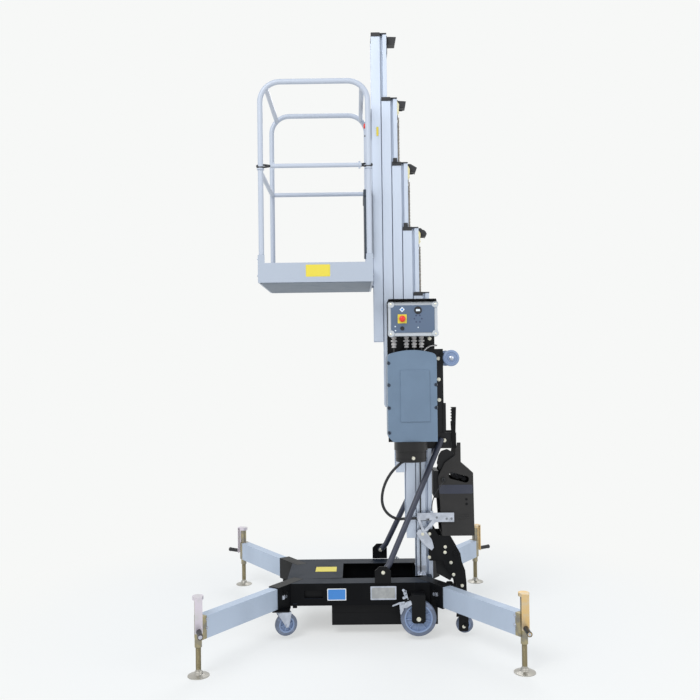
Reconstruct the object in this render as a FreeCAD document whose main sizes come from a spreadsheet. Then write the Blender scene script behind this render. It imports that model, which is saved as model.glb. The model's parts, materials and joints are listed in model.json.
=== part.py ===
import FreeCAD, Part
import math
import os
from collections import namedtuple
import Sketcher

# Vertical mast lift: a one-person platform on five nested aluminium sections, on a wheeled
# base that stands on four outrigger jacks.
# Millimetres, +Z up, +X from the platform towards the mast's back, +Y away from the entry side.
# The origin is on the floor, in the middle of the machine's outer box.

SIZES = {
    # Outer box: the entry side's crank grips stand out further than the far ones.
    "machine_y": 26.4,
    # Jacks and outriggers
    "foot_x": 850,
    "foot_y": 840,
    "pad_radius": 57,
    "pad_thick": 12,
    "leg_radius": 14,
    "jack_radius": 19,
    "jack_low": 150,
    "jack_high": 398,
    "jack_gap": 1,
    "leg_inside": 150,
    "leg_up": 90,
    "cap_radius": 29,
    "cap_thick": 18,
    "crank_drop": 186,
    "crank_wide": 40,
    "crank_thick": 6,
    "crank_reach": 34,
    "grip_radius": 12,
    "grip_length": 90,
    "arm_angle": 54.9,
    "arm_start": 34,
    "arm_length": 765,
    "arm_high": 120,
    "arm_wide": 60,
    "arm_wall": 4,
    "arm_low": 190,
    "socket_start": 598,
    "socket_length": 230,
    "socket_wall": 5,
    "slip": 1,
    "running": 0.1,
    "pin_radius": 5,
    "pin_out": 26,
    # Chassis
    "chassis_x": 440,
    "chassis_y": 285,
    "deck_top": 316,
    "chassis_low": 184,
    "sheet": 5,
    "seam": 0.3,
    "recess_x": -330,
    "recess_low": 227,
    "recess_long": 109,
    "recess_high": 46,
    "bumper_x": -400,
    "bumper_low": 174,
    "bumper_long": 26,
    "bumper_thick": 9,
    "well_front": -105,
    "well_y": 170,
    "tray_front": -170,
    "tray_rear": 462,
    "tray_y": 250,
    "tray_low": 58,
    # Mast sections
    "mast_x": 355,
    "mast_pitch": 61.5,
    "mast_bottom": 130,
    "mast_length": 1920,
    "mast_rise": 405,
    "mast_half": 90,
    "mast_wall": 6,
    "channel_depth": 51,
    "web": 5,
    "lip": 28,
    "lip_thick": 5,
    "neck_half": 56,
    "neck_depth": 16.5,
    "flange_half": 77,
    "flange_depth": 25.5,
    "flange_wall": 5,
    "notch_half": 36,
    "notch_deep": 64,
    "cap_plate": 5,
    "cap_skirt": 18,
    "cap_wall": 4,
    "pad_play": 0.3,
    "slide_length": 138,
    "slide_wide": 22,
    "slide_inset": 12,
    "pulley_out": 52,
    "pulley_half": 30,
    "pulley_high": 42,
    "pulley_lean": 14,
    "pulley_sheet": 5,
    "pulley_radius": 17,
    "pulley_plate": 5,
    "pulley_plate_half": 60,
    "pulley_plate_high": 110,
    "chain_length": 1400,
    "chain_half": 22,
    "chain_thick": 6,
    "chain_pitch": 19,
    "link_high": 13,
    "link_proud": 3,
    "anchor_high": 90,
    "anchor_thick": 11,
    "foot_angle": 52,
    "foot_plate": 6,
    # Wheels
    "wheel_lift": 25,
    "wheel_x": 338,
    "wheel_y": 345,
    "wheel_radius": 104,
    "wheel_wide": 44,
    "wheel_axle": 10,
    "wheel_round": 6,
    "rim_radius": 80,
    "rim_deep": 5,
    "hub_radius": 27,
    "wheel_plate_low": 104,
    "wheel_plate_half": 40,
    "wheel_plate_down": 50,
    "wheel_ledge": 8,
    "brake_high": 30,
    "brake_thick": 4,
    "brake_arm": 58,
    "wheel_plate": 6,
    "caster_x": -462,
    "caster_y": 330,
    "caster_radius": 66,
    "caster_wide": 34,
    "caster_trail": 26,
    "caster_yaw": 22,
    "caster_axle": 7,
    "fork_gap": 4,
    "fork_plate": 5,
    "fork_high": 26,
    "fork_end": 13,
    "caster_plate": 8,
    "caster_plate_half": 50,
    "swivel_gap": 0.3,
    "swivel_radius": 26,
    "swivel_high": 9,
    "rear_x": 613,
    "rear_y": 300,
    "rear_radius": 50,
    "rear_wide": 30,
    "rear_axle": 8,
    # Braces
    "brace_radius": 17.5,
    "brace_foot_x": 135,
    "brace_foot_y": 270,
    "brace_foot_z": 372,
    "brace_knee_x": 175,
    "brace_knee_y": 257,
    "brace_knee_z": 418,
    "brace_head_x": 515,
    "brace_head_z": 1148,
    "lug_half": 48,
    "lug_thick": 8,
    "lug_top": 414,
    "lug_cut": 27,
    # Controls and power unit
    "unit_x": 178,
    "unit_gap": 10,
    "unit_long": 292,
    "unit_drop": 58,
    "box_drop": 11,
    "box_high": 204,
    "box_deep": 144,
    "box_round": 16,
    "box_lug": 11,
    "hood_out": 16,
    "hood_high": 8,
    "back_plate": 6,
    "plate_below": 20,
    "back_side": 8,
    "panel_thick": 4,
    "panel_margin": 20,
    "panel_cut": 14,
    "stop_in": 94,
    "stop_up": 103,
    "stop_base": 26,
    "stop_button": 19,
    "stop_out": 24,
    "key_up": 46,
    "key_radius": 10,
    "key_out": 12,
    "meter_in": 189,
    "meter_up": 154,
    "meter_radius": 22,
    "meter_out": 3,
    "gland_radius": 11,
    "gland_long": 60,
    "cover_gap": 85,
    "cover_high": 543,
    "cover_deep": 200,
    "cover_arch": 26,
    "cover_corner": 60,
    "cover_shoulder": 34,
    "cover_field": 6,
    "field_margin": 119,
    "cover_rim": 16,
    "scallop_radius": 12,
    "motor_x": 316,
    "motor_y": 222,
    "motor_radius": 92,
    "motor_collar": 100,
    "collar_high": 54,
    "motor_high": 122,
    "fitting_radius": 12,
    "rail_low": 1085,
    "rail_high": 615,
    "rail_rear": 532,
    "rail_thick": 6,
    "head_plate_high": 96,
    "head_plate_rear": 606,
    "lever_x": 571,
    "lever_low": 1090,
    "lever_top": 1340,
    "lever_thick": 9,
    "lever_notch": 9,
    "notch_pitch": 18,
    "bar_x": 527,
    "bar_low": 1185,
    "bar_top": 1365,
    "roller_x": 573,
    "roller_z": 1642,
    "roller_radius": 50,
    "roller_y": 130,
    "roller_wide": 40,
    "roller_axle": 8,
    "roller_arm": 31,
    "rear_box_y": 112,
    "rear_sheet": 4,
    "rear_low": 550,
    "rear_front": 488,
    "rear_back": 708,
    "rear_waist": 935,
    "rear_shoulder": 1000,
    "ear_x": 607,
    "ear_wide": 22,
    "ear_top": 1122,
    "slot_x": 575,
    "slot_z": 918,
    "slot_long": 82,
    "slot_drop": 22,
    "slot_radius": 21,
    "cable_hole": 14,
    "cable_hole_x": 521,
    "cable_hole_z": 896,
    # Latch bracket beside the lowest section
    "latch_y": 121,
    "latch_thick": 5,
    "latch_x": 356,
    "latch_long": 226,
    "latch_z": 638,
    "latch_high": 57,
    "latch_leg": 57,
    "spacer_long": 19,
    "terminal_x": 446,
    "hose_end_y": 112,
    "hose_end_z": 660,
    "fitting_out": 4,
    "tilt_y": 96,
    "tilt_thick": 8,
    "tilt_tube_x": 593,
    "tilt_tube_z": 436,
    "tilt_tube_radius": 20,
    "tilt_drop": 0.3,
    "tilt_low": 398,
    "tilt_ear_x": 462,
    "tilt_ear_top": 590,
    "tilt_rib_high": 170,
    "link_x": 388,
    "link_z": 564,
    "link_wide": 40,
    # Hose and cables
    "hose_radius": 8.5,
    "cable_radius": 4,
    "thin_cable_radius": 3,
    "cable_x": 380,
    "cable_foot_x": 374,
    "cable_foot_y": 118,
    "grommet_radius": 9,
    "grommet_high": 12,
    "floor_low": 2098,
    "floor_front": -578,
    "floor_rear": 100,
    "floor_y": 350,
    "floor_thick": 4,
    "toe_high": 116,
    "toe_thick": 4,
    "post_radius": 16,
    "hoop_top": 3290,
    "hoop_bend": 120,
    "rail_radius": 14,
    "floor_panel": 2,
    "panel_clear": 34,
    "upright_wide": 40,
    "upright_high": 48,
    "mid_z": 2757,
    "gate_z": 2790,
    "gate_radius": 12,
    "gate_loop": 24,
    "gate_loop_high": 28,
    "gate_gap": 1,
    "stop_radius": 22,
    "stop_high": 8,
    "carrier_half": 88,
    "carrier_wide": 24,
    "carrier_top": 3200,
    "holder_low": 2320,
    "holder_high": 405,
    "holder_deep": 25,
    "holder_half": 150,
    "station_low": 3020,
    "station_high": 160,
    "station_deep": 45,
    "station_half": 70,
}


class Size(float):
    """A length with the sheet expression that gives it."""

    def __new__(cls, value, text):
        made = float.__new__(cls, value)
        made.text = text
        return made

    def __add__(self, other):
        return combined(self, "+", other, float(self) + float(other))

    def __radd__(self, other):
        return combined(other, "+", self, float(other) + float(self))

    def __sub__(self, other):
        return combined(self, "-", other, float(self) - float(other))

    def __rsub__(self, other):
        return combined(other, "-", self, float(other) - float(self))

    def __mul__(self, other):
        return combined(self, "*", other, float(self) * float(other))

    def __rmul__(self, other):
        return combined(other, "*", self, float(other) * float(self))

    def __truediv__(self, other):
        return combined(self, "/", other, float(self) / float(other))

    def __neg__(self):
        return combined(-1, "*", self, -float(self))


def text_of(value):
    """The expression for a size, or a plain number as text."""
    if isinstance(value, Size):
        return value.text
    return f"({float(value)})"


def combined(left, sign, right, value):
    return Size(value, f"({text_of(left)} {sign} {text_of(right)})")


doc = FreeCAD.newDocument("MastLift")
sheet = doc.addObject("Spreadsheet::Sheet", "Sizes")
for row, (alias, number) in enumerate(SIZES.items(), start=1):
    sheet.set(f"A{row}", alias)
    sheet.set(f"B{row}", str(number))
    sheet.setAlias(f"B{row}", alias)
doc.recompute()


class Sheet:
    """Each driving dimension of the sheet, by name."""


for alias in SIZES:
    setattr(Sheet, alias, Size(sheet.get(alias), f"Sizes.{alias}"))
d = Sheet
subparts = []


def bind(made, prop, value):
    made.setExpression(prop, text_of(value))


def place(made, x=0, y=0, z=0, turn=None, axis=(0, 0, 1)):
    """Put an object at a point, turned by an angle about an axis."""
    if turn is not None:
        rotation = FreeCAD.Rotation(FreeCAD.Vector(*axis), float(turn))
        made.Placement = FreeCAD.Placement(FreeCAD.Vector(), rotation)
        bind(made, "Placement.Rotation.Angle", turn)
    for name, value in (("x", x), ("y", y), ("z", z)):
        bind(made, f"Placement.Base.{name}", value)
    return made


def subpart(label, made, x=0, y=0, z=0, turn=None, axis=(0, 0, 1)):
    """Name a finished piece and place it in the machine."""
    made.Label = label
    place(made, x, d.machine_y + y, z, turn, axis)
    subparts.append(made)
    return made


def box(x, y, z, long, wide, high):
    """A block from its low corner."""
    made = doc.addObject("Part::Box", "block")
    bind(made, "Length", long)
    bind(made, "Width", wide)
    bind(made, "Height", high)
    return place(made, x, y, z)


def even_box(x, z, long, half, high):
    """A block that is symmetric about the machine's middle plane."""
    return box(x, -half, z, long, half * 2, high)


def cylinder(x, y, z, radius, high, turn=None, axis=(0, 0, 1)):
    made = doc.addObject("Part::Cylinder", "round")
    bind(made, "Radius", radius)
    bind(made, "Height", high)
    return place(made, x, y, z, turn, axis)


def cross_rod(x, y, z, radius, long):
    """A rod along +Y from y."""
    return cylinder(x, y, z, radius, long, -90, (1, 0, 0))


def fuse(*pieces):
    if len(pieces) == 1:
        return pieces[0]
    made = doc.addObject("Part::MultiFuse", "joined")
    made.Shapes = list(pieces)
    return made


def group(*pieces):
    """Solids that stay apart but are one sub-part."""
    made = doc.addObject("Part::Compound", "set")
    made.Links = list(pieces)
    return made


def cut(base, *tools):
    made = doc.addObject("Part::Cut", "trimmed")
    made.Base = base
    made.Tool = fuse(*tools)
    return made


def common(base, other):
    made = doc.addObject("Part::MultiCommon", "shared")
    made.Shapes = [base, other]
    return made


def solid(shape):
    """A shape made by Part's own functions, as a document object."""
    made = doc.addObject("Part::Feature", "shape")
    made.Shape = shape
    return made


def new_body():
    return doc.addObject("PartDesign::Body", "body")


def sketch(body, plane, away, *outlines):
    """Closed outlines of straight edges, or circles as (x, y, radius), fully constrained."""
    made = body.newObject("Sketcher::SketchObject", "sketch")
    face = next(item for item in body.Origin.OriginFeatures if item.Role == plane)
    made.AttachmentSupport = (face, [""])
    made.MapMode = "FlatFace"
    bind(made, "AttachmentOffset.Base.z", away)
    for outline in outlines:
        if isinstance(outline, tuple):
            add_circle(made, *outline)
        else:
            add_outline(made, outline)
    return made


def fix_point(made, edge, end, x, y):
    """Hold one point of the sketch at x, y from its origin."""
    for kind, value in (("DistanceX", x), ("DistanceY", y)):
        number = made.addConstraint(Sketcher.Constraint(kind, -1, 1, edge, end, float(value)))
        bind(made, f"Constraints[{number}]", value)


def add_circle(made, x, y, radius):
    edge = made.addGeometry(Part.Circle(FreeCAD.Vector(x, y, 0), FreeCAD.Vector(0, 0, 1), radius), False)
    fix_point(made, edge, 3, x, y)
    number = made.addConstraint(Sketcher.Constraint("Radius", edge, float(radius)))
    bind(made, f"Constraints[{number}]", radius)


def add_outline(made, points):
    ends = points[1:] + points[:1]
    edges = [
        made.addGeometry(Part.LineSegment(FreeCAD.Vector(*start, 0), FreeCAD.Vector(*end, 0)), False)
        for start, end in zip(points, ends)
    ]
    for edge, following in zip(edges, edges[1:] + edges[:1]):
        made.addConstraint(Sketcher.Constraint("Coincident", edge, 2, following, 1))
    for edge, (x, y) in zip(edges, points):
        fix_point(made, edge, 1, x, y)


def pad(body, plane, away, length, *outlines):
    """Pull outlines along the plane's normal: +Z from XY, -Y from XZ, +X from YZ."""
    made = body.newObject("PartDesign::Pad", "pad")
    made.Profile = sketch(body, plane, away, *outlines)
    bind(made, "Length", length)
    return made


def pocket_through(body, plane, *outlines):
    """Cut outlines through the whole body, both ways from the plane."""
    made = body.newObject("PartDesign::Pocket", "pocket")
    made.Profile = sketch(body, plane, 0, *outlines)
    made.Type = "ThroughAll"
    made.SideType = "Symmetric"
    return made


def revolve(body, plane, axis, *outlines):
    """Turn outlines about a sketch axis."""
    made = body.newObject("PartDesign::Revolution", "revolution")
    profile = sketch(body, plane, 0, *outlines)
    made.Profile = profile
    made.ReferenceAxis = (profile, [axis])
    made.Angle = 360
    return made


def rectangle(x1, y1, x2, y2):
    return [(x1, y1), (x2, y1), (x2, y2), (x1, y2)]


def slab(y, thick, outline):
    """A plate across Y, from y to y + thick, with an outline in X and Z."""
    made = new_body()
    pad(made, "XZ_Plane", -y - thick, thick, outline)
    return made


def tube(points, radius, bends):
    """A round bar through points, with tangent arcs at the inner ones."""
    spots = [FreeCAD.Vector(*[float(value) for value in point]) for point in points]
    edges = []
    start = spots[0]
    for before, corner, after, bend in zip(spots, spots[1:], spots[2:], bends):
        back = (before - corner).normalize()
        ahead = (after - corner).normalize()
        half_turn = (math.pi - back.getAngle(ahead)) / 2
        reach = bend * math.tan(half_turn)
        entry = corner + back * reach
        leave = corner + ahead * reach
        middle = (back + ahead).normalize()
        centre = corner + middle * (bend / math.cos(half_turn))
        edges.append(Part.LineSegment(start, entry).toShape())
        edges.append(Part.Arc(entry, centre - middle * bend, leave).toShape())
        start = leave
    edges.append(Part.LineSegment(start, spots[-1]).toShape())
    ring = Part.Wire(Part.Circle(spots[0], spots[1] - spots[0], float(radius)).toShape())
    return Part.Wire(edges).makePipe(Part.Face(ring))


def cord(label, points, radius):
    """A hose or cable: each bend is as large as its two runs allow, and the radii are printed."""
    spots = [FreeCAD.Vector(*[float(value) for value in point]) for point in points]
    bends = []
    for before, corner, after in zip(spots, spots[1:], spots[2:]):
        half_turn = (corner - before).getAngle(after - corner) / 2
        run = min((corner - before).Length, (after - corner).Length)
        bends.append(0.45 * run / math.tan(half_turn))
    made = tube(points, radius, bends)
    length = made.Volume / (math.pi * radius**2)
    print(label, "radii", [round(bend) for bend in bends], "length", round(length))
    subpart(label, solid(made))


# The four outriggers are built along +X from the jack's axis and turned to their corners.
Corner = namedtuple("Corner", "name x_side y_side base_turn turn_side grip_turn")
CORNERS = (
    Corner("near_left", -1, -1, 0, 1, -74),
    Corner("near_right", 1, -1, 180, -1, -90),
    Corner("far_left", -1, 1, 0, -1, 149),
    Corner("far_right", 1, 1, 180, 1, 31),
)
SIDES = (("near", -1), ("far", 1))


def at_corner(corner, made):
    turn = corner.base_turn + corner.turn_side * d.arm_angle
    return place(made, corner.x_side * d.foot_x, corner.y_side * d.foot_y, 0, turn)


def socket_block(corner, grown):
    """The socket's outer block, grown on every side."""
    return at_corner(corner, group(box(
        d.socket_start - grown,
        -(d.arm_wide / 2 + d.slip + d.socket_wall + grown),
        d.arm_low - d.slip - d.socket_wall - grown,
        d.socket_length + grown * 2,
        d.arm_wide + (d.slip + d.socket_wall + grown) * 2,
        d.arm_high + (d.slip + d.socket_wall + grown) * 2,
    )))


def make_chassis():
    """A folded sheet deck with skirts, open below, with the mast well, lifting pockets and bumpers."""
    deck_under = d.deck_top - d.sheet
    shell = cut(
        even_box(-d.chassis_x, d.chassis_low, d.chassis_x * 2, d.chassis_y, d.deck_top - d.chassis_low),
        even_box(
            d.sheet - d.chassis_x, d.chassis_low - 1, (d.chassis_x - d.sheet) * 2,
            d.chassis_y - d.sheet, deck_under - d.chassis_low + 1,
        ),
        even_box(d.well_front, deck_under - 1, d.mast_x - d.well_front, d.well_y, d.sheet + 2),
        even_box(
            d.mast_x - 1, d.chassis_low - 1, mast_depth() + 2,
            d.mast_half + d.unit_gap, d.deck_top - d.chassis_low + 2,
        ),
        even_box(d.recess_x, d.recess_low, d.recess_long, d.chassis_y + 1, d.recess_high),
        *[socket_block(corner, d.seam) for corner in CORNERS],
    )
    bumpers = [
        box(
            d.bumper_x, y, d.bumper_low,
            d.bumper_long, d.bumper_thick, d.chassis_low - d.bumper_low + d.sheet * 3,
        )
        for y in (-(d.chassis_y + d.bumper_thick), d.chassis_y)
    ]
    subpart("chassis", fuse(shell, *bumpers))


def make_tray():
    """The well under the deck that takes the lowered mast sections."""
    high = d.chassis_low - d.tray_low
    walls = cut(
        even_box(d.tray_front, d.tray_low, d.tray_rear - d.tray_front, d.tray_y, high),
        even_box(
            d.tray_front + d.sheet, d.tray_low + d.sheet,
            d.tray_rear - d.tray_front - d.sheet * 2, d.tray_y - d.sheet, high,
        ),
    )
    subpart("well_tray", walls)


def make_outriggers():
    """Sockets in the chassis corners, square arms in them and the jacks at their ends."""
    sockets = []
    arms = []
    for corner in CORNERS:
        bore = at_corner(corner, group(box(
            d.socket_start - 1, -(d.arm_wide / 2 + d.slip), d.arm_low - d.slip,
            d.socket_length + 2, d.arm_wide + d.slip * 2, d.arm_high + d.slip * 2,
        )))
        side = -corner.turn_side
        wall = d.arm_wide / 2 + d.slip + d.socket_wall
        pin = at_corner(corner, group(cross_rod(
            d.socket_start + d.pin_out * 2, wall if side > 0 else -(wall + d.pin_out),
            d.arm_low + d.arm_high * 0.75, d.pin_radius, d.pin_out,
        )))
        sockets.append(fuse(cut(socket_block(corner, 0), bore), pin))
        arms.append(at_corner(corner, cut(
            box(d.arm_start, -(d.arm_wide / 2), d.arm_low, d.arm_length, d.arm_wide, d.arm_high),
            box(
                d.arm_start - 1, d.arm_wall - d.arm_wide / 2, d.arm_low + d.arm_wall,
                d.arm_length + 2, d.arm_wide - d.arm_wall * 2, d.arm_high - d.arm_wall * 2,
            ),
        )))
    subpart("outrigger_sockets", group(*sockets))
    subpart("outrigger_arms", group(*arms))


def make_jacks():
    """Screw jacks: tube and bracket, folded crank with its grip, and the leg on its round pad."""
    tubes = []
    cranks = []
    bore = d.leg_radius + d.jack_gap
    leg_top = d.jack_low + d.leg_inside
    for corner in CORNERS:
        cap_low = d.jack_high
        tubes.append(at_corner(corner, cut(
            fuse(
                cylinder(0, 0, d.jack_low, d.jack_radius, d.jack_high - d.jack_low),
                box(
                    0, -(d.arm_wide / 2), d.arm_low,
                    d.arm_start, d.arm_wide, d.arm_high,
                ),
            ),
            cylinder(0, 0, d.jack_low - 1, bore, leg_top + d.leg_up + d.jack_gap * 5 - d.jack_low),
        )))
        arm_low = cap_low + d.cap_thick - d.crank_drop
        cranks.append(place(
            fuse(
                cylinder(0, 0, cap_low, d.cap_radius, d.cap_thick),
                box(
                    0, -(d.crank_wide / 2), cap_low + d.cap_thick - d.crank_thick,
                    d.crank_reach + d.crank_thick, d.crank_wide, d.crank_thick,
                ),
                box(
                    d.crank_reach, -(d.crank_wide / 2), arm_low,
                    d.crank_thick, d.crank_wide, d.crank_drop,
                ),
                cylinder(
                    d.crank_reach, 0, arm_low + d.grip_radius,
                    d.grip_radius, d.grip_length + d.crank_thick, 90, (0, 1, 0),
                ),
            ),
            corner.x_side * d.foot_x, corner.y_side * d.foot_y, 0, corner.grip_turn,
        ))
        leg = new_body()
        revolve(leg, "XZ_Plane", "V_Axis", [
            (0, 0),
            (d.pad_radius, 0),
            (d.pad_radius, d.pad_thick / 3),
            (d.leg_radius + 10, d.pad_thick),
            (d.leg_radius + 6, d.pad_thick + 14),
            (d.leg_radius, d.pad_thick + 16),
            (d.leg_radius, leg_top),
            (0, leg_top),
        ])
        subpart(f"jack_leg_{corner.name}", leg, corner.x_side * d.foot_x, corner.y_side * d.foot_y)
    subpart("jack_tubes", group(*tubes))
    subpart("jack_cranks", group(*cranks))


# Mast sections count from the platform's, 1, to the one on the chassis, 5.
SECTIONS = (1, 2, 3, 4, 5)


def mast_depth():
    return d.channel_depth + d.web + d.neck_depth + d.flange_depth


def section_x(number):
    return d.mast_x - (5 - number) * d.mast_pitch


def section_low(number):
    return d.mast_bottom + (5 - number) * d.mast_rise


def section_top(number):
    return section_low(number) + d.mast_length


def make_section(number):
    """An extrusion with a lipped channel in front and a hollow tee behind, notched for the pulley."""
    inner = d.mast_half - d.mast_wall
    lip_edge = d.mast_half - d.lip
    web_rear = d.channel_depth + d.web
    flange_front = web_rear + d.neck_depth
    rear = flange_front + d.flange_depth
    half = [
        (0, lip_edge),
        (0, d.mast_half),
        (web_rear, d.mast_half),
        (web_rear, d.neck_half),
        (flange_front, d.neck_half),
        (flange_front, d.flange_half),
        (rear, d.flange_half),
    ]
    channel = [
        (d.channel_depth, inner),
        (d.lip_thick, inner),
        (d.lip_thick, lip_edge),
    ]
    outside = half + [(x, -y) for x, y in reversed(half)] + [(x, -y) for x, y in reversed(channel)] + channel
    neck_room = d.neck_half - d.flange_wall
    flange_room = d.flange_half - d.flange_wall
    made = new_body()
    pad(
        made, "XY_Plane", 0, d.mast_length, outside,
        rectangle(web_rear, -neck_room, flange_front, neck_room),
        rectangle(flange_front + d.flange_wall, -flange_room, rear - d.flange_wall, flange_room),
    )
    pocket_through(made, "YZ_Plane", rectangle(
        -d.notch_half, d.mast_length - d.notch_deep, d.notch_half, d.mast_length + 1,
    ))
    subpart(f"mast_section_{number}", made, section_x(number), 0, section_low(number))


def make_cap(number):
    """A black end cap: plate and side skirts, open over the channel and the notch."""
    top = section_top(number)
    front = section_x(number)
    rear = front + mast_depth()
    inner = d.mast_half - d.mast_wall
    outer = d.mast_half + d.cap_wall
    web_rear = d.channel_depth + d.web
    plate = []
    for side in (-1, 1):
        low_wall = inner if side > 0 else -outer
        plate.append(box(front, low_wall, top, web_rear, outer - inner, d.cap_plate))
        low_skirt = d.mast_half if side > 0 else -outer
        plate.append(box(
            front, low_skirt, top - d.cap_skirt, web_rear, d.cap_wall, d.cap_skirt + d.cap_plate,
        ))
        low_back = d.notch_half if side > 0 else -inner
        plate.append(box(
            front + d.channel_depth, low_back, top,
            mast_depth() - d.channel_depth, inner - d.notch_half, d.cap_plate,
        ))
    if number == 1:
        plate.append(even_box(front, top, mast_depth(), inner, d.cap_plate))
    pieces = [fuse(*plate)]
    if number < 5:
        pieces.append(make_pulley(rear, top))
    subpart(f"mast_cap_{number}", group(*pieces, *make_slides(number)))


def make_pulley(rear, top):
    """The chain pulley's housing behind a section's head: two leaning cheeks, a bridge and the pulley."""
    low = top - d.pulley_high - d.cap_plate
    high = top - d.cap_plate
    out = rear + d.pulley_out
    cheek = [
        (rear, low), (out - d.pulley_lean, low), (out, low + d.pulley_lean), (out, high - d.pulley_lean),
        (out - d.pulley_lean, high), (rear, high),
    ]
    centre_x = out - d.pulley_radius - d.pulley_sheet
    centre_z = low + d.pulley_high / 2
    return fuse(
        even_box(rear, top - d.notch_deep - 50, d.pulley_plate, d.pulley_plate_half, d.pulley_plate_high),
        *[slab(y, d.pulley_sheet, cheek) for y in (-d.pulley_half, d.pulley_half - d.pulley_sheet)],
        even_box(rear, high - d.pulley_sheet, d.pulley_out - d.pulley_lean, d.pulley_half, d.pulley_sheet),
        cross_rod(centre_x, -d.pulley_half, centre_z, d.pulley_radius, d.pulley_half * 2),
    )


def make_slides(number):
    """Slide pads: in the channel's head, and on the tee's foot where it runs in the next channel."""
    inner = d.mast_half - d.mast_wall
    front = section_x(number)
    thick = inner - d.flange_half - d.pad_play
    pads = []
    for side in (-1, 1):
        if number > 1:
            low = inner - thick if side > 0 else -inner
            pads.append(box(
                front + d.slide_inset, low, section_top(number) - d.slide_inset - d.slide_length,
                d.slide_wide, thick, d.slide_length,
            ))
        if number < 5:
            low = d.flange_half if side > 0 else -(d.flange_half + thick)
            pads.append(box(
                front + mast_depth() - d.slide_wide - 2, low, section_low(number) + d.slide_inset,
                d.slide_wide, thick, d.slide_length,
            ))
    return pads


def make_chain(number):
    """The lift chain's run down the back of a section, with its anchor, and a raised row for each pin."""
    rear = section_x(number) + mast_depth()
    top = section_top(number) - d.notch_deep - 50
    low = top - d.chain_length
    rows = math.floor(d.chain_length / d.chain_pitch)
    run = new_body()
    pad(run, "XZ_Plane", -d.chain_half, d.chain_half * 2, rectangle(
        rear, low, rear + d.chain_thick, top,
    ))
    back = rear + d.chain_thick
    half = d.link_high / 2
    middle = low + d.chain_pitch / 2
    row = pad(run, "XZ_Plane", -d.chain_half, d.chain_half * 2, [
        (back - 1, middle - half), (back, middle - half), (back + d.link_proud, middle - half / 2),
        (back + d.link_proud, middle + half / 2), (back, middle + half), (back - 1, middle + half),
    ])
    links = run.newObject("PartDesign::LinearPattern", "links")
    links.Originals = [row]
    links.Direction = (row.Profile[0], ["V_Axis"])
    bind(links, "Length", d.chain_pitch * (rows - 1))
    links.Occurrences = rows
    run.Tip = links
    anchor = even_box(rear, top - d.anchor_high, d.anchor_thick, d.chain_half, d.anchor_high)
    subpart(f"lift_chain_{number}", fuse(run, anchor))


def make_mast_foot():
    """Angles that stand on the deck and hold the lowest section."""
    angles = []
    for side in (-1, 1):
        low = d.mast_half if side > 0 else -(d.mast_half + d.foot_plate)
        angles.append(box(d.mast_x, low, d.deck_top, d.channel_depth, d.foot_plate, d.foot_angle))
        ledge = d.mast_half if side > 0 else -(d.mast_half + d.foot_angle)
        angles.append(box(d.mast_x, ledge, d.deck_top, d.channel_depth, d.foot_angle, d.foot_plate))
    grommet = cylinder(
        d.cable_foot_x, -d.cable_foot_y, d.deck_top + d.foot_plate, d.grommet_radius, d.grommet_high,
    )
    subpart("mast_foot", fuse(*angles, grommet))


def make_wheels():
    """Two load wheels on plates, two casters in front and two small wheels behind."""
    plates = []
    centre = d.wheel_lift + d.wheel_radius
    for name, side in SIDES:
        wheel = new_body()
        hub = d.wheel_axle + d.running
        half = [
            (hub, d.wheel_wide / 2), (d.hub_radius, d.wheel_wide / 2),
            (d.hub_radius, d.wheel_wide / 2 - d.rim_deep), (d.rim_radius, d.wheel_wide / 2 - d.rim_deep),
            (d.rim_radius, d.wheel_wide / 2), (d.wheel_radius - d.wheel_round, d.wheel_wide / 2),
            (d.wheel_radius, d.wheel_wide / 2 - d.wheel_round),
        ]
        revolve(wheel, "XY_Plane", "V_Axis", half + [(radius, -across) for radius, across in reversed(half)])
        subpart(f"load_wheel_{name}", wheel, d.wheel_x, side * d.wheel_y, centre)
        outer = d.wheel_y + d.wheel_wide / 2 + d.fork_gap
        low = outer if side > 0 else -(outer + d.wheel_plate)
        inner = d.chassis_y
        axle_low = inner if side > 0 else -outer
        top_low = inner if side > 0 else -(outer + d.wheel_plate)
        left, right = d.wheel_x - d.wheel_plate_half, d.wheel_x + d.wheel_plate_half
        corner_cut = d.wheel_plate_half / 3
        plate_top = d.deck_top - d.wheel_plate_down
        plates.append(fuse(
            slab(low, d.wheel_plate, [
                (left, plate_top), (left, centre - corner_cut), (left + corner_cut, d.wheel_plate_low),
                (right - corner_cut, d.wheel_plate_low), (right, centre - corner_cut), (right, plate_top),
            ]),
            box(
                left, top_low, plate_top - d.wheel_ledge,
                right - left, outer + d.wheel_plate - inner, d.wheel_ledge,
            ),
            cross_rod(d.wheel_x, axle_low, centre, d.wheel_axle, outer - inner),
            slab(low, d.brake_thick, [
                (left, plate_top - d.brake_high), (left - d.brake_arm, plate_top - d.brake_high * 2),
                (left - d.brake_arm - d.brake_thick, plate_top - d.brake_high * 1.4), (left, plate_top),
            ]),
        ))
        make_caster(name, side)
        small = new_body()
        revolve(small, "XY_Plane", "V_Axis", rectangle_set(
            d.rear_axle + d.running, d.rear_radius, d.rear_wide,
        ))
        subpart(f"rear_wheel_{name}", small, d.rear_x, side * d.rear_y, d.wheel_lift + d.rear_radius)
    subpart("wheel_brackets", group(*plates))


def rectangle_set(inner, outer, wide):
    """The half section of a plain wheel about the second axis."""
    return rectangle(inner, -(wide / 2), outer, wide / 2)


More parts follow.
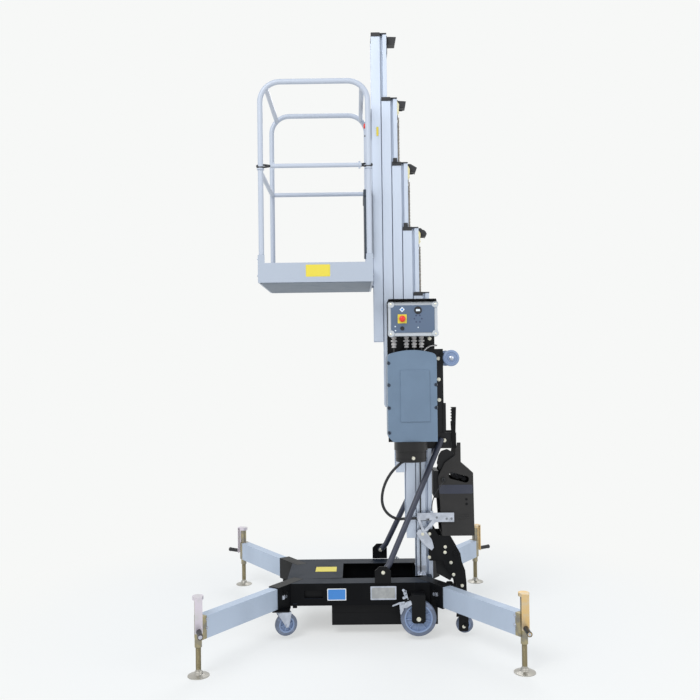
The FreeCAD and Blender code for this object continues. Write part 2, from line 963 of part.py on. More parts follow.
def make_caster(name, side):
    """A swivel fork under the front corner with its wheel trailing behind the swivel axis."""
    centre = d.wheel_lift + d.caster_radius
    plate_low = d.arm_low - d.slip - d.socket_wall - d.caster_plate
    race_top = plate_low - d.swivel_gap
    fork_top = race_top - d.swivel_high
    cheek = d.caster_wide / 2 + d.fork_gap
    axle_x = d.caster_trail
    leg = [
        (-d.fork_high, fork_top), (-d.fork_high, fork_top - d.fork_end),
        (axle_x - d.fork_end, centre), (axle_x - d.fork_end / 2, centre - d.fork_end),
        (axle_x + d.fork_end / 2, centre - d.fork_end), (axle_x + d.fork_end, centre),
        (axle_x + d.fork_high, fork_top - d.fork_end), (axle_x + d.fork_high, fork_top),
    ]
    fork = fuse(
        cylinder(0, 0, fork_top - d.fork_plate, d.swivel_radius, d.swivel_high + d.fork_plate),
        even_box(
            -d.fork_high, fork_top - d.fork_plate,
            d.caster_trail + d.fork_high * 2, cheek + d.fork_plate, d.fork_plate,
        ),
        *[slab(y, d.fork_plate, leg) for y in (-(cheek + d.fork_plate), cheek)],
        cross_rod(d.caster_trail, -cheek, centre, d.caster_axle, cheek * 2),
    )
    subpart(f"caster_fork_{name}", fork, d.caster_x, side * d.caster_y, 0, d.caster_yaw)
    wheel = new_body()
    revolve(wheel, "XY_Plane", "V_Axis", rectangle_set(
        d.caster_axle + d.running, d.caster_radius, d.caster_wide,
    ))
    turn = math.radians(float(d.caster_yaw))
    subpart(
        f"caster_wheel_{name}", wheel,
        d.caster_x + d.caster_trail * math.cos(turn),
        side * d.caster_y + d.caster_trail * math.sin(turn),
        centre, d.caster_yaw,
    )


def make_caster_plates():
    """Top plates of the casters, bolted under the front sockets."""
    low = d.arm_low - d.slip - d.socket_wall - d.caster_plate
    plates = [
        box(
            d.caster_x - d.caster_plate_half, side * d.caster_y - d.caster_plate_half, low,
            d.caster_plate_half * 2, d.caster_plate_half * 2, d.caster_plate,
        )
        for name, side in SIDES
    ]
    subpart("caster_plates", group(*plates))


def make_braces():
    """Two bent tubes from lugs on the deck to the rails behind the mast."""
    head_y = d.flange_half + d.rail_thick * 2 + d.brace_radius + d.seam
    braces = []
    lugs = []
    for name, side in SIDES:
        braces.append(solid(tube(
            [
                (d.brace_foot_x, side * d.brace_foot_y, d.brace_foot_z),
                (d.brace_knee_x, side * d.brace_knee_y, d.brace_knee_z),
                (d.brace_head_x, side * head_y, d.brace_head_z),
            ],
            d.brace_radius, [70],
        )))
        out = d.brace_foot_y + d.brace_radius + d.seam
        low = out if side > 0 else -(out + d.lug_thick)
        left, right = d.brace_foot_x - d.lug_half, d.brace_foot_x + d.lug_half
        lugs.append(slab(low, d.lug_thick, [
            (left, d.deck_top), (right, d.deck_top), (right, d.lug_top - d.lug_cut),
            (right - d.lug_cut, d.lug_top), (left + d.lug_cut, d.lug_top), (left, d.lug_top - d.lug_cut),
        ]))
    subpart("mast_braces", group(*braces))
    subpart("brace_lugs", group(*lugs))


def unit_top():
    """The top of the plate that carries the controls, below the lowest section's top."""
    return section_top(5) - d.unit_drop


def box_low():
    return unit_top() - d.box_drop - d.box_high


def cover_low():
    return box_low() - d.cover_gap - d.cover_high


def unit_front():
    """The distance of the plate's outer face from the middle plane."""
    return d.mast_half + d.unit_gap + d.back_plate


def rounded_box(x, y, z, long, wide, high, radius):
    """A block whose four edges along Y are rounded."""
    made = new_body()
    corners = [(x + radius, z + radius), (x + long - radius, z + radius),
               (x + long - radius, z + high - radius), (x + radius, z + high - radius)]
    pad(made, "XZ_Plane", -y - wide, wide, rectangle(x, z + radius, x + long, z + high - radius))
    pieces = [made, box(x + radius, y, z, long - radius * 2, wide, high)]
    pieces += [cross_rod(corner_x, y, corner_z, radius, wide) for corner_x, corner_z in corners]
    return fuse(*pieces)


def controls_on(face):
    """The stop button on its square, the key switch and the meter, on the panel's face."""
    base = box(
        d.unit_x + d.stop_in - d.stop_base, -(face + d.key_out / 2), box_low() + d.stop_up - d.stop_base,
        d.stop_base * 2, d.key_out / 2, d.stop_base * 2,
    )
    rounds = (
        (d.stop_in, d.stop_up, d.stop_button, d.stop_out),
        (d.stop_in, d.key_up, d.key_radius, d.key_out),
        (d.meter_in, d.meter_up, d.meter_radius, d.meter_out),
    )
    stop, key, meter = [
        cross_rod(d.unit_x + across, -(face + out), box_low() + up, radius, out)
        for across, up, radius, out in rounds
    ]
    return fuse(base, stop), key, meter


def make_controls():
    """The long back plate on the mast's side, the control box, its panel, controls and cable glands."""
    back = d.mast_half + d.unit_gap
    front = unit_front()
    plate_low = cover_low() - d.plate_below
    high = unit_top() - plate_low
    plate = fuse(
        box(d.unit_x - d.back_side, -front, plate_low, d.unit_long + d.back_side * 2, d.back_plate, high),
        box(d.mast_x, -back, plate_low + 30, d.channel_depth, d.unit_gap, high - 60),
        box(
            d.unit_x - d.back_side, -(front + d.box_deep + d.hood_out), unit_top() - d.hood_high,
            d.unit_long + d.back_side * 2, d.box_deep + d.hood_out, d.hood_high,
        ),
        cylinder(
            d.cable_x, -(back + d.back_plate / 2), plate_low - d.grommet_high,
            d.back_plate, d.grommet_high,
        ),
    )
    subpart("control_backplate", plate)
    face = front + d.box_deep
    lugs = [
        cross_rod(d.unit_x + across, -(face + d.panel_thick), box_low() + up, d.box_lug, d.panel_thick)
        for across in (d.box_lug, d.unit_long - d.box_lug) for up in (d.box_lug, d.box_high - d.box_lug)
    ]
    subpart("control_box", fuse(rounded_box(
        d.unit_x, -face, box_low(), d.unit_long, d.box_deep, d.box_high, d.box_round,
    ), *lugs))
    long = d.unit_long - d.panel_margin * 2
    high = d.box_high - d.panel_margin * 2
    left = d.unit_x + d.panel_margin
    low = box_low() + d.panel_margin
    cut_in = d.panel_cut
    panel = new_body()
    pad(panel, "XZ_Plane", face, d.panel_thick, [
        (left + cut_in, low), (left + long - cut_in, low), (left + long, low + cut_in),
        (left + long, low + high - cut_in), (left + long - cut_in, low + high), (left + cut_in, low + high),
        (left, low + high - cut_in), (left, low + cut_in),
    ])
    subpart("control_panel", panel)
    panel_face = face + d.panel_thick
    subpart("panel_controls", group(*controls_on(panel_face)))
    glands = [
        cylinder(
            d.unit_x + d.unit_long * share, -(front + d.box_deep / 2), box_low() - d.gland_long,
            d.gland_radius, d.gland_long,
        )
        for share in (0.16, 0.42, 0.58, 0.73)
    ]
    subpart("cable_glands", group(*glands))


def round_shoulders(made, above, radius):
    """Round the two edges along Y where the arch meets the sides, above a height."""
    doc.recompute()
    numbers = [
        number for number, edge in enumerate(made.Shape.Edges, start=1)
        if abs(edge.tangentAt(edge.FirstParameter).y) > 0.999 and edge.CenterOfMass.z > above
    ]
    rounded = doc.addObject("Part::Fillet", "rounded")
    rounded.Base = made
    rounded.Edges = [(number, float(radius), float(radius)) for number in numbers]
    return rounded


def make_power_unit():
    """The moulded cover on the back plate, arched on top, and the pump motor under it."""
    front = unit_front()
    low = cover_low()
    high = d.cover_high
    deep = d.cover_deep
    left = d.unit_x
    right = d.unit_x + d.unit_long
    half = d.unit_long / 2
    arch_radius = half * half / (d.cover_arch * 2) + d.cover_arch / 2
    block = slab(-(front + deep), deep, [
        (left + d.cover_corner / 2, low), (right, low), (right, low + high), (left, low + high),
        (left, low + d.cover_corner / 2),
    ])
    arch = cross_rod(left + half, -(front + deep), low + high - arch_radius, arch_radius, deep)
    body = round_shoulders(common(block, arch), low + high / 2, d.cover_shoulder)
    field_left = left + d.cover_corner + d.cover_rim
    field_right = right - d.cover_corner + d.cover_rim
    raised = box(
        field_left, -(front + deep + d.cover_field), low + d.field_margin,
        field_right - field_left, d.cover_field, high - d.field_margin * 2,
    )
    scallops = [
        cross_rod(x, -(front + deep + 1), low + high * share, d.scallop_radius, d.cover_rim)
        for x, shares in ((left, (0.1, 0.37, 0.62, 0.86)), (right, (0.37, 0.62)))
        for share in shares
    ]
    subpart("power_cover", cut(fuse(body, raised), *scallops))
    collar_low = low - d.collar_high
    fitting = cylinder(
        d.motor_x - 22, -d.motor_y, low - d.motor_high + 18, d.fitting_radius, 38, 232, (0, 1, 0),
    )
    subpart("pump_motor", fuse(
        cylinder(d.motor_x, -d.motor_y, collar_low, d.motor_collar, d.collar_high),
        cylinder(d.motor_x, -d.motor_y, low - d.motor_high, d.motor_radius, d.motor_high - d.collar_high),
        fitting,
    ))


def make_rear():
    """Rails with their head plates and roller arms, the rollers, the box and the tilt frame."""
    front = d.mast_x + d.channel_depth + d.web + d.neck_depth
    inner = d.flange_half
    outer = inner + d.rail_thick
    flats = (
        # distance out, x, low, long, high
        (inner, front, d.rail_low, d.rail_rear - front, d.rail_high),
        (outer, front, d.rail_low, d.head_plate_rear - front, d.head_plate_high),
        (outer, d.bar_x, d.bar_low, d.rail_thick * 3, d.bar_top - d.bar_low),
        (outer, d.rail_rear - 20, d.roller_z - d.roller_arm, d.roller_x - d.rail_rear + 36, d.roller_arm * 2),
    )
    rails = [
        box(x, y, low, long, d.rail_thick, high)
        for out, x, low, long, high in flats
        for y in (out, -(out + d.rail_thick))
    ]
    rails.append(cross_rod(
        d.roller_x, -(d.roller_y + d.roller_wide), d.roller_z,
        d.roller_axle, (d.roller_y + d.roller_wide) * 2,
    ))
    subpart("rear_rails", fuse(*rails))
    make_lever()
    for name, side in SIDES:
        roller = new_body()
        revolve(roller, "XY_Plane", "V_Axis", rectangle_set(
            d.roller_axle + d.running, d.roller_radius, d.roller_wide,
        ))
        subpart(
            f"loading_roller_{name}", roller,
            d.roller_x, side * (d.roller_y + d.roller_wide / 2), d.roller_z,
        )
    make_rear_box()
    make_tilt_frame()


def make_lever():
    """The serrated grip lever on the near head plate."""
    outer = d.flange_half + d.rail_thick * 2 + d.seam
    wide = d.notch_pitch * 2
    points = [(d.lever_x + d.lever_notch, d.lever_low), (d.lever_x + wide - d.lever_notch, d.lever_low),
              (d.lever_x + wide, d.lever_top), (d.lever_x, d.lever_top)]
    for step in range(5):
        top = d.lever_top - d.notch_pitch * (step + 1)
        points += [(d.lever_x + d.lever_notch, top + d.lever_notch), (d.lever_x, top)]
    lever = new_body()
    pad(lever, "XZ_Plane", outer, d.lever_thick, points)
    subpart("grip_lever", lever)


def make_rear_box():
    """A folded sheet box, open in front, with two ears on top, a slanted slot and a cable hole."""
    front, back, low = d.rear_front, d.rear_back, d.rear_low
    ear_front = d.ear_x
    ear_back = d.ear_x + d.ear_wide
    outline = [
        (front + d.ear_wide, low), (back, low), (back - d.rear_sheet, d.rear_waist),
        (ear_back, d.rear_shoulder), (ear_back, d.ear_top), (ear_front, d.ear_top),
        (ear_front - d.rear_sheet * 3, d.rear_shoulder + d.ear_wide * 2),
        (front + d.ear_wide * 2, d.rear_shoulder),
        (front, d.rear_waist - d.ear_wide),
    ]
    inside = d.rear_box_y - d.rear_sheet
    body = new_body()
    pad(body, "XZ_Plane", -d.rear_box_y, d.rear_box_y * 2, outline)
    room = new_body()
    pad(room, "XZ_Plane", -inside, inside * 2, [
        (front - 1, low + d.rear_sheet), (back - d.rear_sheet, low + d.rear_sheet),
        (back - d.rear_sheet * 2, d.rear_waist), (ear_back - d.rear_sheet, d.rear_shoulder - d.rear_sheet),
        (ear_back - d.rear_sheet, d.ear_top + 1), (front - 1, d.ear_top + 1),
    ])
    ears = even_box(ear_back - d.rear_sheet - 1, d.rear_shoulder + 1, d.ear_wide, inside, d.ear_top)
    slot = new_body()
    ends = [(d.slot_x, d.slot_z), (d.slot_x + d.slot_long, d.slot_z - d.slot_drop)]
    pad(slot, "XZ_Plane", -d.rear_box_y - 1, (d.rear_box_y + 1) * 2, [
        (ends[0][0], ends[0][1] - d.slot_radius), (ends[1][0], ends[1][1] - d.slot_radius),
        (ends[1][0], ends[1][1] + d.slot_radius), (ends[0][0], ends[0][1] + d.slot_radius),
    ])
    rounds = [
        cross_rod(x, -(d.rear_box_y + 1), z, radius, (d.rear_box_y + 1) * 2)
        for x, z, radius in ((*ends[0], d.slot_radius), (*ends[1], d.slot_radius))
    ]
    grommet = cross_rod(
        d.cable_hole_x, -(d.rear_box_y + d.rear_sheet * 2), d.cable_hole_z, d.cable_hole, d.rear_sheet * 3,
    )
    subpart("rear_box", fuse(cut(body, room, ears, slot, *rounds), grommet))


# Edges of the curved arm from the rear axle's X, at shares of the height from the axle to the box.
ArmSpot = namedtuple("ArmSpot", "share inner outer")
TILT_ARM = (
    ArmSpot(-0.05, -23, 21),
    ArmSpot(0.16, -16, 37),
    ArmSpot(0.28, -13, 43),
    ArmSpot(0.40, -22, 42),
    ArmSpot(0.46, -49, 39),
    ArmSpot(0.55, -77, 35),
    ArmSpot(0.67, -103, 14),
)
TILT_HEAD = (
    ArmSpot(0.77, None, 7),
    ArmSpot(0.88, None, -22),
    ArmSpot(1, None, -61),
)


def make_tilt_frame():
    """Plates and curved arms on both sides of the lowest section, with a cross tube and the rear axle."""
    top = d.rear_low - d.tilt_drop
    tee_front = d.mast_x + d.channel_depth + d.web + d.neck_depth
    axle_z = d.wheel_lift + d.rear_radius
    inner = [(d.rear_x + spot.inner, axle_z + (top - axle_z) * spot.share) for spot in TILT_ARM]
    outer = [(d.rear_x + spot.outer, axle_z + (top - axle_z) * spot.share) for spot in TILT_ARM + TILT_HEAD]
    outline = outer + [
        (d.rear_front, top), (d.tilt_ear_x, d.tilt_ear_top),
        (tee_front, d.tilt_ear_top), (tee_front, d.tilt_low),
    ] + inner[::-1]
    pieces = []
    for side in (-1, 1):
        plate = new_body()
        away = d.tilt_y if side < 0 else -(d.tilt_y + d.tilt_thick)
        pad(plate, "XZ_Plane", away, d.tilt_thick, outline)
        pieces.append(plate)
        low = d.flange_half if side > 0 else -d.tilt_y
        pieces.append(box(
            tee_front, low, d.tilt_low + d.tilt_thick,
            d.flange_depth, d.tilt_y - d.flange_half, d.tilt_rib_high,
        ))
    pieces.append(cross_rod(
        d.tilt_tube_x, -(d.tilt_y), d.tilt_tube_z, d.tilt_tube_radius, d.tilt_y * 2,
    ))
    pieces.append(cross_rod(
        d.rear_x, -(d.rear_y + d.rear_wide), axle_z, d.rear_axle, (d.rear_y + d.rear_wide) * 2,
    ))
    subpart("tilt_frame", fuse(*pieces))


# The hanging link's outline round its pivot, in shares of its width.
LINK = (
    (-1, 0.12), (-0.55, 0.75), (0.35, 0.65), (1.4, -0.85), (1.72, -2.05), (1.35, -2.5), (0.55, -1.95),
    (-0.25, -1.05),
)


def make_latch():
    """The bright latch bracket that stands off the lowest section's near side."""
    left, low = d.latch_x, d.latch_z
    right = left + d.latch_long
    top = low + d.latch_high
    leg = d.latch_leg
    plate = new_body()
    pad(plate, "XZ_Plane", d.latch_y, d.latch_thick, [
        (left, low + leg / 3), (left + leg / 2, low - leg), (left + leg, low - leg),
        (left + leg * 2, low), (right, low), (right, top), (left, top),
    ])
    window = new_body()
    pad(window, "XZ_Plane", d.latch_y - 1, d.latch_thick + 2, [
        (left + leg * 0.35, low + leg / 5), (left + leg * 0.75, low - leg * 0.8),
        (left + leg * 1.6, low + leg / 5),
    ])
    web_rear = d.mast_x + d.channel_depth + d.web
    spacer = box(
        web_rear - d.spacer_long, -d.latch_y, low + leg / 3, d.spacer_long, d.latch_y - d.mast_half, leg / 2,
    )
    terminal = box(
        d.terminal_x - d.grommet_radius, -(d.latch_y + d.latch_thick * 1.5), top,
        d.grommet_radius * 2, d.latch_thick * 2, d.grommet_high,
    )
    link = new_body()
    pad(link, "XZ_Plane", d.latch_y - d.latch_thick, d.latch_thick, [
        (d.link_x + d.link_wide * across, d.link_z + d.link_wide * up) for across, up in LINK
    ])
    fitting = cylinder(
        d.latch_x - d.fitting_out, -d.hose_end_y, d.hose_end_z,
        d.fitting_radius, d.fitting_out * 4, 90, (0, 1, 0),
    )
    subpart("latch_bracket", fuse(cut(plate, window), spacer, terminal, link, fitting))


def make_cords():
    """The hydraulic hose from the pump to the mast's foot and the two thin control cables."""
    cord("hydraulic_hose", [
        (263.95, -222, 1021.5), (214, -222, 982.5), (167, -212, 914), (143, -203, 846), (137, -194, 782),
        (152, -186, 728), (190, -174, 686), (240, -148, 662), (292, -112, 660), (352, -112, 660),
    ], d.hose_radius)
    cord("mast_cable", [
        (380, -103, 1116.9), (380.5, -101, 1010), (380.5, -100, 900), (379.5, -99.5, 790), (378, -99.5, 680),
        (376, -100.5, 570), (374.5, -104, 466), (374, -118, 384), (374, -118, 334),
    ], d.cable_radius)
    cord("box_cable", [
        (521, -120, 896), (521, -150, 896), (504, -170, 876), (482, -172, 848), (464, -160, 814),
        (452, -140, 778), (446, -123.5, 742), (446, -123.5, 707),
    ], d.thin_cable_radius)


def make_platform():
    """Floor with toe-boards, tube hoops, rails, the sliding gate bar and the carrier on section 1."""
    long = d.floor_rear - d.floor_front
    tray = cut(
        even_box(d.floor_front, d.floor_low, long, d.floor_y, d.toe_high),
        even_box(
            d.floor_front + d.toe_thick, d.floor_low + d.floor_thick,
            long - d.toe_thick * 2, d.floor_y - d.toe_thick, d.toe_high,
        ),
    )
    cut_in = d.panel_clear
    floor_left, floor_right = d.floor_front + d.toe_thick, d.floor_rear - d.toe_thick
    floor_half = d.floor_y - d.toe_thick
    grip = new_body()
    pad(grip, "XY_Plane", d.floor_low + d.floor_thick, d.floor_panel, [
        (floor_left + cut_in * 2, -floor_half), (floor_right - cut_in * 2, -floor_half),
        (floor_right, cut_in * 2 - floor_half), (floor_right, floor_half - cut_in * 2),
        (floor_right - cut_in * 2, floor_half), (floor_left + cut_in * 2, floor_half),
        (floor_left, floor_half - cut_in * 2), (floor_left, cut_in * 2 - floor_half),
    ])
    uprights = [
        box(x, y, d.floor_low + d.toe_high, long, wide, d.upright_high)
        for y_out, y_in in ((-d.floor_y, -d.floor_y), (d.floor_y - d.toe_thick, d.floor_y - d.upright_wide))
        for x, y, long, wide in (
            (d.floor_front, y_out, d.upright_wide, d.toe_thick),
            (d.floor_rear - d.upright_wide, y_out, d.upright_wide, d.toe_thick),
            (d.floor_front, y_in, d.toe_thick, d.upright_wide),
            (d.floor_rear - d.toe_thick, y_in, d.toe_thick, d.upright_wide),
        )
    ]
    subpart("platform_tray", fuse(tray, grip, *uprights))
    post_y = d.floor_y - d.toe_thick - d.post_radius
    left = d.floor_front + d.toe_thick + d.post_radius
    right = d.floor_rear - d.toe_thick - d.post_radius
    foot = d.floor_low + d.floor_thick
    hoops = []
    for side in (-1, 1):
        hoops.append(solid(tube(
            [(left, side * post_y, foot), (left, side * post_y, d.hoop_top),
             (right, side * post_y, d.hoop_top), (right, side * post_y, foot)],
            d.post_radius, [float(d.hoop_bend), float(d.hoop_bend)],
        )))
    for x in (left, right):
        hoops.append(cylinder(
            x, -post_y, d.gate_z - d.gate_loop_high / 2 - d.seam - d.stop_high, d.stop_radius, d.stop_high,
        ))
    bend_in = float(d.hoop_bend) * (1 - math.sqrt(0.5))
    for x in (left + bend_in, right - bend_in):
        hoops.append(cross_rod(x, -post_y, d.hoop_top - bend_in, d.rail_radius, post_y * 2))
    hoops.append(cross_rod(left, -post_y, d.mid_z, d.rail_radius, post_y * 2))
    hoops.append(cylinder(left, post_y, d.mid_z, d.rail_radius, right - left, 90, (0, 1, 0)))
    subpart("platform_hoops", fuse(*hoops))
    loops = []
    for x in (left, right):
        loops.append(cylinder(x, -post_y, d.gate_z - d.gate_loop_high / 2, d.gate_loop, d.gate_loop_high))
    bar = cylinder(left, -post_y, d.gate_z, d.gate_radius, right - left, 90, (0, 1, 0))
    bores = [
        cylinder(x, -post_y, d.gate_z - d.gate_loop_high, d.post_radius + d.gate_gap, d.gate_loop_high * 2)
        for x in (left, right)
    ]
    subpart("gate_bar", cut(fuse(bar, *loops), *bores))
    carrier = fuse(*[
        box(
            d.floor_rear, low, d.floor_low,
            section_x(1) - d.floor_rear, d.carrier_wide, d.carrier_top - d.floor_low,
        )
        for low in (-d.carrier_half, d.carrier_half - d.carrier_wide)
    ])
    subpart("platform_carrier", carrier)
    holder = even_box(d.floor_rear - d.holder_deep, d.holder_low, d.holder_deep, d.holder_half, d.holder_high)
    subpart("document_holder", group(holder))
    station = even_box(
        d.floor_rear - d.station_deep, d.station_low, d.station_deep, d.station_half, d.station_high,
    )
    subpart("platform_station", group(station))


make_chassis()
make_tray()
make_outriggers()
make_jacks()
for number in SECTIONS:
    make_section(number)
    make_cap(number)
for number in (2, 3, 4):
    make_chain(number)
make_mast_foot()
make_wheels()
make_caster_plates()
make_braces()
make_controls()
make_power_unit()
make_rear()
make_latch()
make_cords()
make_platform()
doc.recompute()

for made in doc.Objects:
    if {"Invalid", "Error"} & set(made.State):
        raise RuntimeError(f"{made.Name} ({made.Label}) failed: {made.State}")
for made in subparts:
    if made.Shape.isNull() or not made.Shape.isValid() or not made.Shape.Solids:
        raise RuntimeError(f"{made.Label} has no valid solid")

os.makedirs("parts", exist_ok=True)
for made in subparts:
    made.Shape.exportStep(f"parts/{made.Label}.step")
print(len(subparts), "sub-parts")
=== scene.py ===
import json
import math

import bmesh
import bpy
from mathutils import Matrix, Vector

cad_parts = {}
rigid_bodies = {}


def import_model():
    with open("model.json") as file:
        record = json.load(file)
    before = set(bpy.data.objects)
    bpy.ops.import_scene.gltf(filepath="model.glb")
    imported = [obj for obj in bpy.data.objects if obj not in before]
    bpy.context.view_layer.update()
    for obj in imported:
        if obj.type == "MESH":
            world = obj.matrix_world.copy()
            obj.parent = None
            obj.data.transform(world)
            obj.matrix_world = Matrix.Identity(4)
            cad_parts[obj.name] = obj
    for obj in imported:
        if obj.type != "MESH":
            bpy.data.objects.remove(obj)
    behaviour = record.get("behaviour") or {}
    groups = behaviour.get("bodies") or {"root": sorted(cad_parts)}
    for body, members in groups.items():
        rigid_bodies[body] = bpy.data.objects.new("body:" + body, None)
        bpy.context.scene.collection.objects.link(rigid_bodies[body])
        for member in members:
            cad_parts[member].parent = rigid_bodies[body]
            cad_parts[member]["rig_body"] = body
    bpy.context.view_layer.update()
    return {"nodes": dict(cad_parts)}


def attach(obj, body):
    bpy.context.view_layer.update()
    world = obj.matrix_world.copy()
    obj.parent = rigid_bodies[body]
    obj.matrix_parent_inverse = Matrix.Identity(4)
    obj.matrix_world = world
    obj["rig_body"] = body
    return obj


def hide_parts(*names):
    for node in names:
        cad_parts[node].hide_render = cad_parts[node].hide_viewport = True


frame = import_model()
scene = bpy.context.scene

# Camera. It stands in front of the machine's entry side at eye height, level but for a fraction
# of a degree, with a normal lens.

STAND = Vector((-0.0132, -4.9227, 1.6331))
YAW, TILT, ROLL = math.radians(-0.3603), math.radians(0.7864), math.radians(-0.7128)
SENSOR, LENS = 36, 40.34

ahead = Vector((math.sin(YAW) * math.cos(TILT), math.cos(YAW) * math.cos(TILT), math.sin(TILT)))
level = Vector((math.cos(YAW), -math.sin(YAW), 0))
above = level.cross(ahead)
rightward = math.cos(ROLL) * level + math.sin(ROLL) * above
upward = math.cos(ROLL) * above - math.sin(ROLL) * level
camera = bpy.data.objects.new("camera", bpy.data.cameras.new("camera"))
camera.data.sensor_width = SENSOR
camera.data.lens = LENS
camera.matrix_world = Matrix((rightward, upward, -ahead)).transposed().to_4x4()
camera.location = STAND
scene.collection.objects.link(camera)
scene.camera = camera
scene.view_settings.view_transform = "Standard"

# Hose and cables. A rubber hydraulic hose runs from the pump round the near brace to the mast's
# foot, a control cable runs down the mast, and a thin one leaves the box behind it. Each is one
# smooth curve with a round section, in dull moulded rubber.

MACHINE_Y = 26.4


def at(x, y, z):
    """A point in metres from millimetres, with y from the machine's middle plane."""
    return Vector((x, y + MACHINE_Y, z)) / 1000


def paint(red, green, blue):
    """A colour as it looks on screen, 0 to 255, as the linear colour that the shader takes."""
    return (*[((value / 255 + 0.055) / 1.055) ** 2.4 if value > 10 else value / 3294
              for value in (red, green, blue)], 1)


def shade(colour, factor):
    """The same colour, darker or paler."""
    return (*[value * factor for value in colour[:3]], 1)


class Wire:
    """A shader socket: used in an expression, it adds the Math nodes."""

    def __init__(self, nodes, socket):
        self.nodes = nodes
        self.socket = socket

    def math(self, operation, other):
        return self.nodes.node("ShaderNodeMath", {"operation": operation}, {0: self, 1: other})

    def __add__(self, other):
        return self.math("ADD", other)

    def __mul__(self, other):
        return self.math("MULTIPLY", other)

    __radd__ = __add__
    __rmul__ = __mul__

    def between(self, low, high):
        """0 below low, 1 above high, and smooth between them."""
        settings = {"interpolation_type": "SMOOTHSTEP"}
        return self.nodes.node("ShaderNodeMapRange", settings, {0: self, 1: low, 2: high})


class Nodes:
    """A node tree, whose one method adds any node: its settings first, then its sockets."""

    def __init__(self, tree):
        self.tree = tree

    def feed(self, socket, value):
        if isinstance(value, Wire):
            self.tree.links.new(value.socket, socket)
        else:
            socket.default_value = value

    def node(self, kind, settings, sockets, output=0):
        made = self.tree.nodes.new(kind)
        for name, value in settings.items():
            setattr(made, name, value)
        for key, value in sockets.items():
            self.feed(made.inputs[key], value)
        return Wire(self, made.outputs[output])


class Finish(Nodes):
    """One procedural material on Object coordinates, made around a Principled shader."""

    def __init__(self, name, colour, roughness, metallic=0.0):
        self.material = bpy.data.materials.new(name)
        self.material.use_nodes = True
        super().__init__(self.material.node_tree)
        self.shader = self.tree.nodes["Principled BSDF"]
        self.set("Base Color", colour)
        self.set("Roughness", roughness)
        self.set("Metallic", metallic)
        self.place = self.node("ShaderNodeTexCoord", {}, {}, "Object")

    def set(self, name, value):
        self.feed(self.shader.inputs[name], value)

    def noise(self, size, stretch=(1, 1, 1), detail=3.0):
        """Cloudy values from 0 to 1, whose clouds are about size metres across."""
        stretched = self.node("ShaderNodeMapping", {}, {"Vector": self.place, "Scale": stretch})
        sockets = {"Vector": stretched, "Scale": 1 / size, "Detail": detail}
        return self.node("ShaderNodeTexNoise", {}, sockets, "Fac")

    def along(self, axis):
        """The coordinate along X, Y or Z, in metres."""
        return self.node("ShaderNodeSeparateXYZ", {}, {0: self.place}, axis)

    def mix(self, factor, first, second):
        return self.node("ShaderNodeMix", {"data_type": "RGBA"}, {0: factor, 6: first, 7: second}, 2)

    def relief(self, height, depth, strength):
        """The last step of a finish: its fine relief, depth metres deep. It gives the material."""
        sockets = {"Height": height, "Distance": depth, "Strength": strength}
        self.set("Normal", self.node("ShaderNodeBump", {}, sockets))
        return self.material


def rubber(name, colour, roughness):
    """Dull moulded rubber with a dusty bloom."""
    made = Finish(name, colour, roughness)
    dust = made.noise(0.04, detail=5.0).between(0.45, 0.8)
    made.set("Base Color", made.mix(dust, colour, shade(colour, 1.9)))
    made.set("Roughness", roughness + dust * 0.15)
    return made.relief(made.noise(0.0015), 0.0002, 0.3)


def cord(name, diameter, route):
    """One free cord on the base, whose route's points are a smooth curve's control points."""
    points = [at(*point) for point in route]
    curve = bpy.data.curves.new(name + "_line", "CURVE")
    curve.dimensions = "3D"
    curve.bevel_depth = diameter / 2
    curve.bevel_resolution = 5
    curve.resolution_u = 16
    curve.use_fill_caps = True
    line = curve.splines.new("NURBS")
    line.points.add(len(points) - 1)
    for spot, point in zip(line.points, points):
        spot.co = (*point, 1)
    line.order_u = 3
    line.use_endpoint_u = True
    curve.materials.append(HOSE_RUBBER)
    made = bpy.data.objects.new(name + "_run", curve)
    scene.collection.objects.link(made)
    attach(made, "base")
    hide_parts(name)


HOSE_RUBBER = rubber("hose rubber", paint(24, 25, 28), 0.42)
cord("hydraulic_hose", 0.017, (
    (263.95, -222, 1021.5), (214, -222, 982.5), (167, -212, 914), (143, -203, 846), (137, -194, 782),
    (152, -186, 728), (190, -174, 686), (240, -148, 662), (292, -112, 660), (352, -112, 660),
))
cord("mast_cable", 0.008, (
    (380, -103, 1116.9), (380.5, -101, 1010), (380.5, -100, 900), (379.5, -99.5, 790),
    (378, -99.5, 680), (376, -100.5, 570), (374.5, -104, 466), (374, -118, 384), (374, -118, 334),
))
cord("box_cable", 0.006, (
    (521, -120, 896), (521, -150, 896), (504, -170, 876), (482, -172, 848), (464, -160, 814),
    (452, -140, 778), (446, -123.5, 742), (446, -123.5, 707),
))

# Stage and light. A pale studio floor that fades into a white surround, one large soft lamp high
# in front, weaker ones on the right and behind, and a pale sky for the rest.

BACKGROUND = paint(247, 248, 247)
SKY_BLUE = (0.86, 0.93, 1.0, 1)
SKY_STRENGTH = 0.6
FLOOR_RADIUS = 30
FADE_START, FADE_END, FLOOR_GLOW = 1.2, 2.8, 0.55

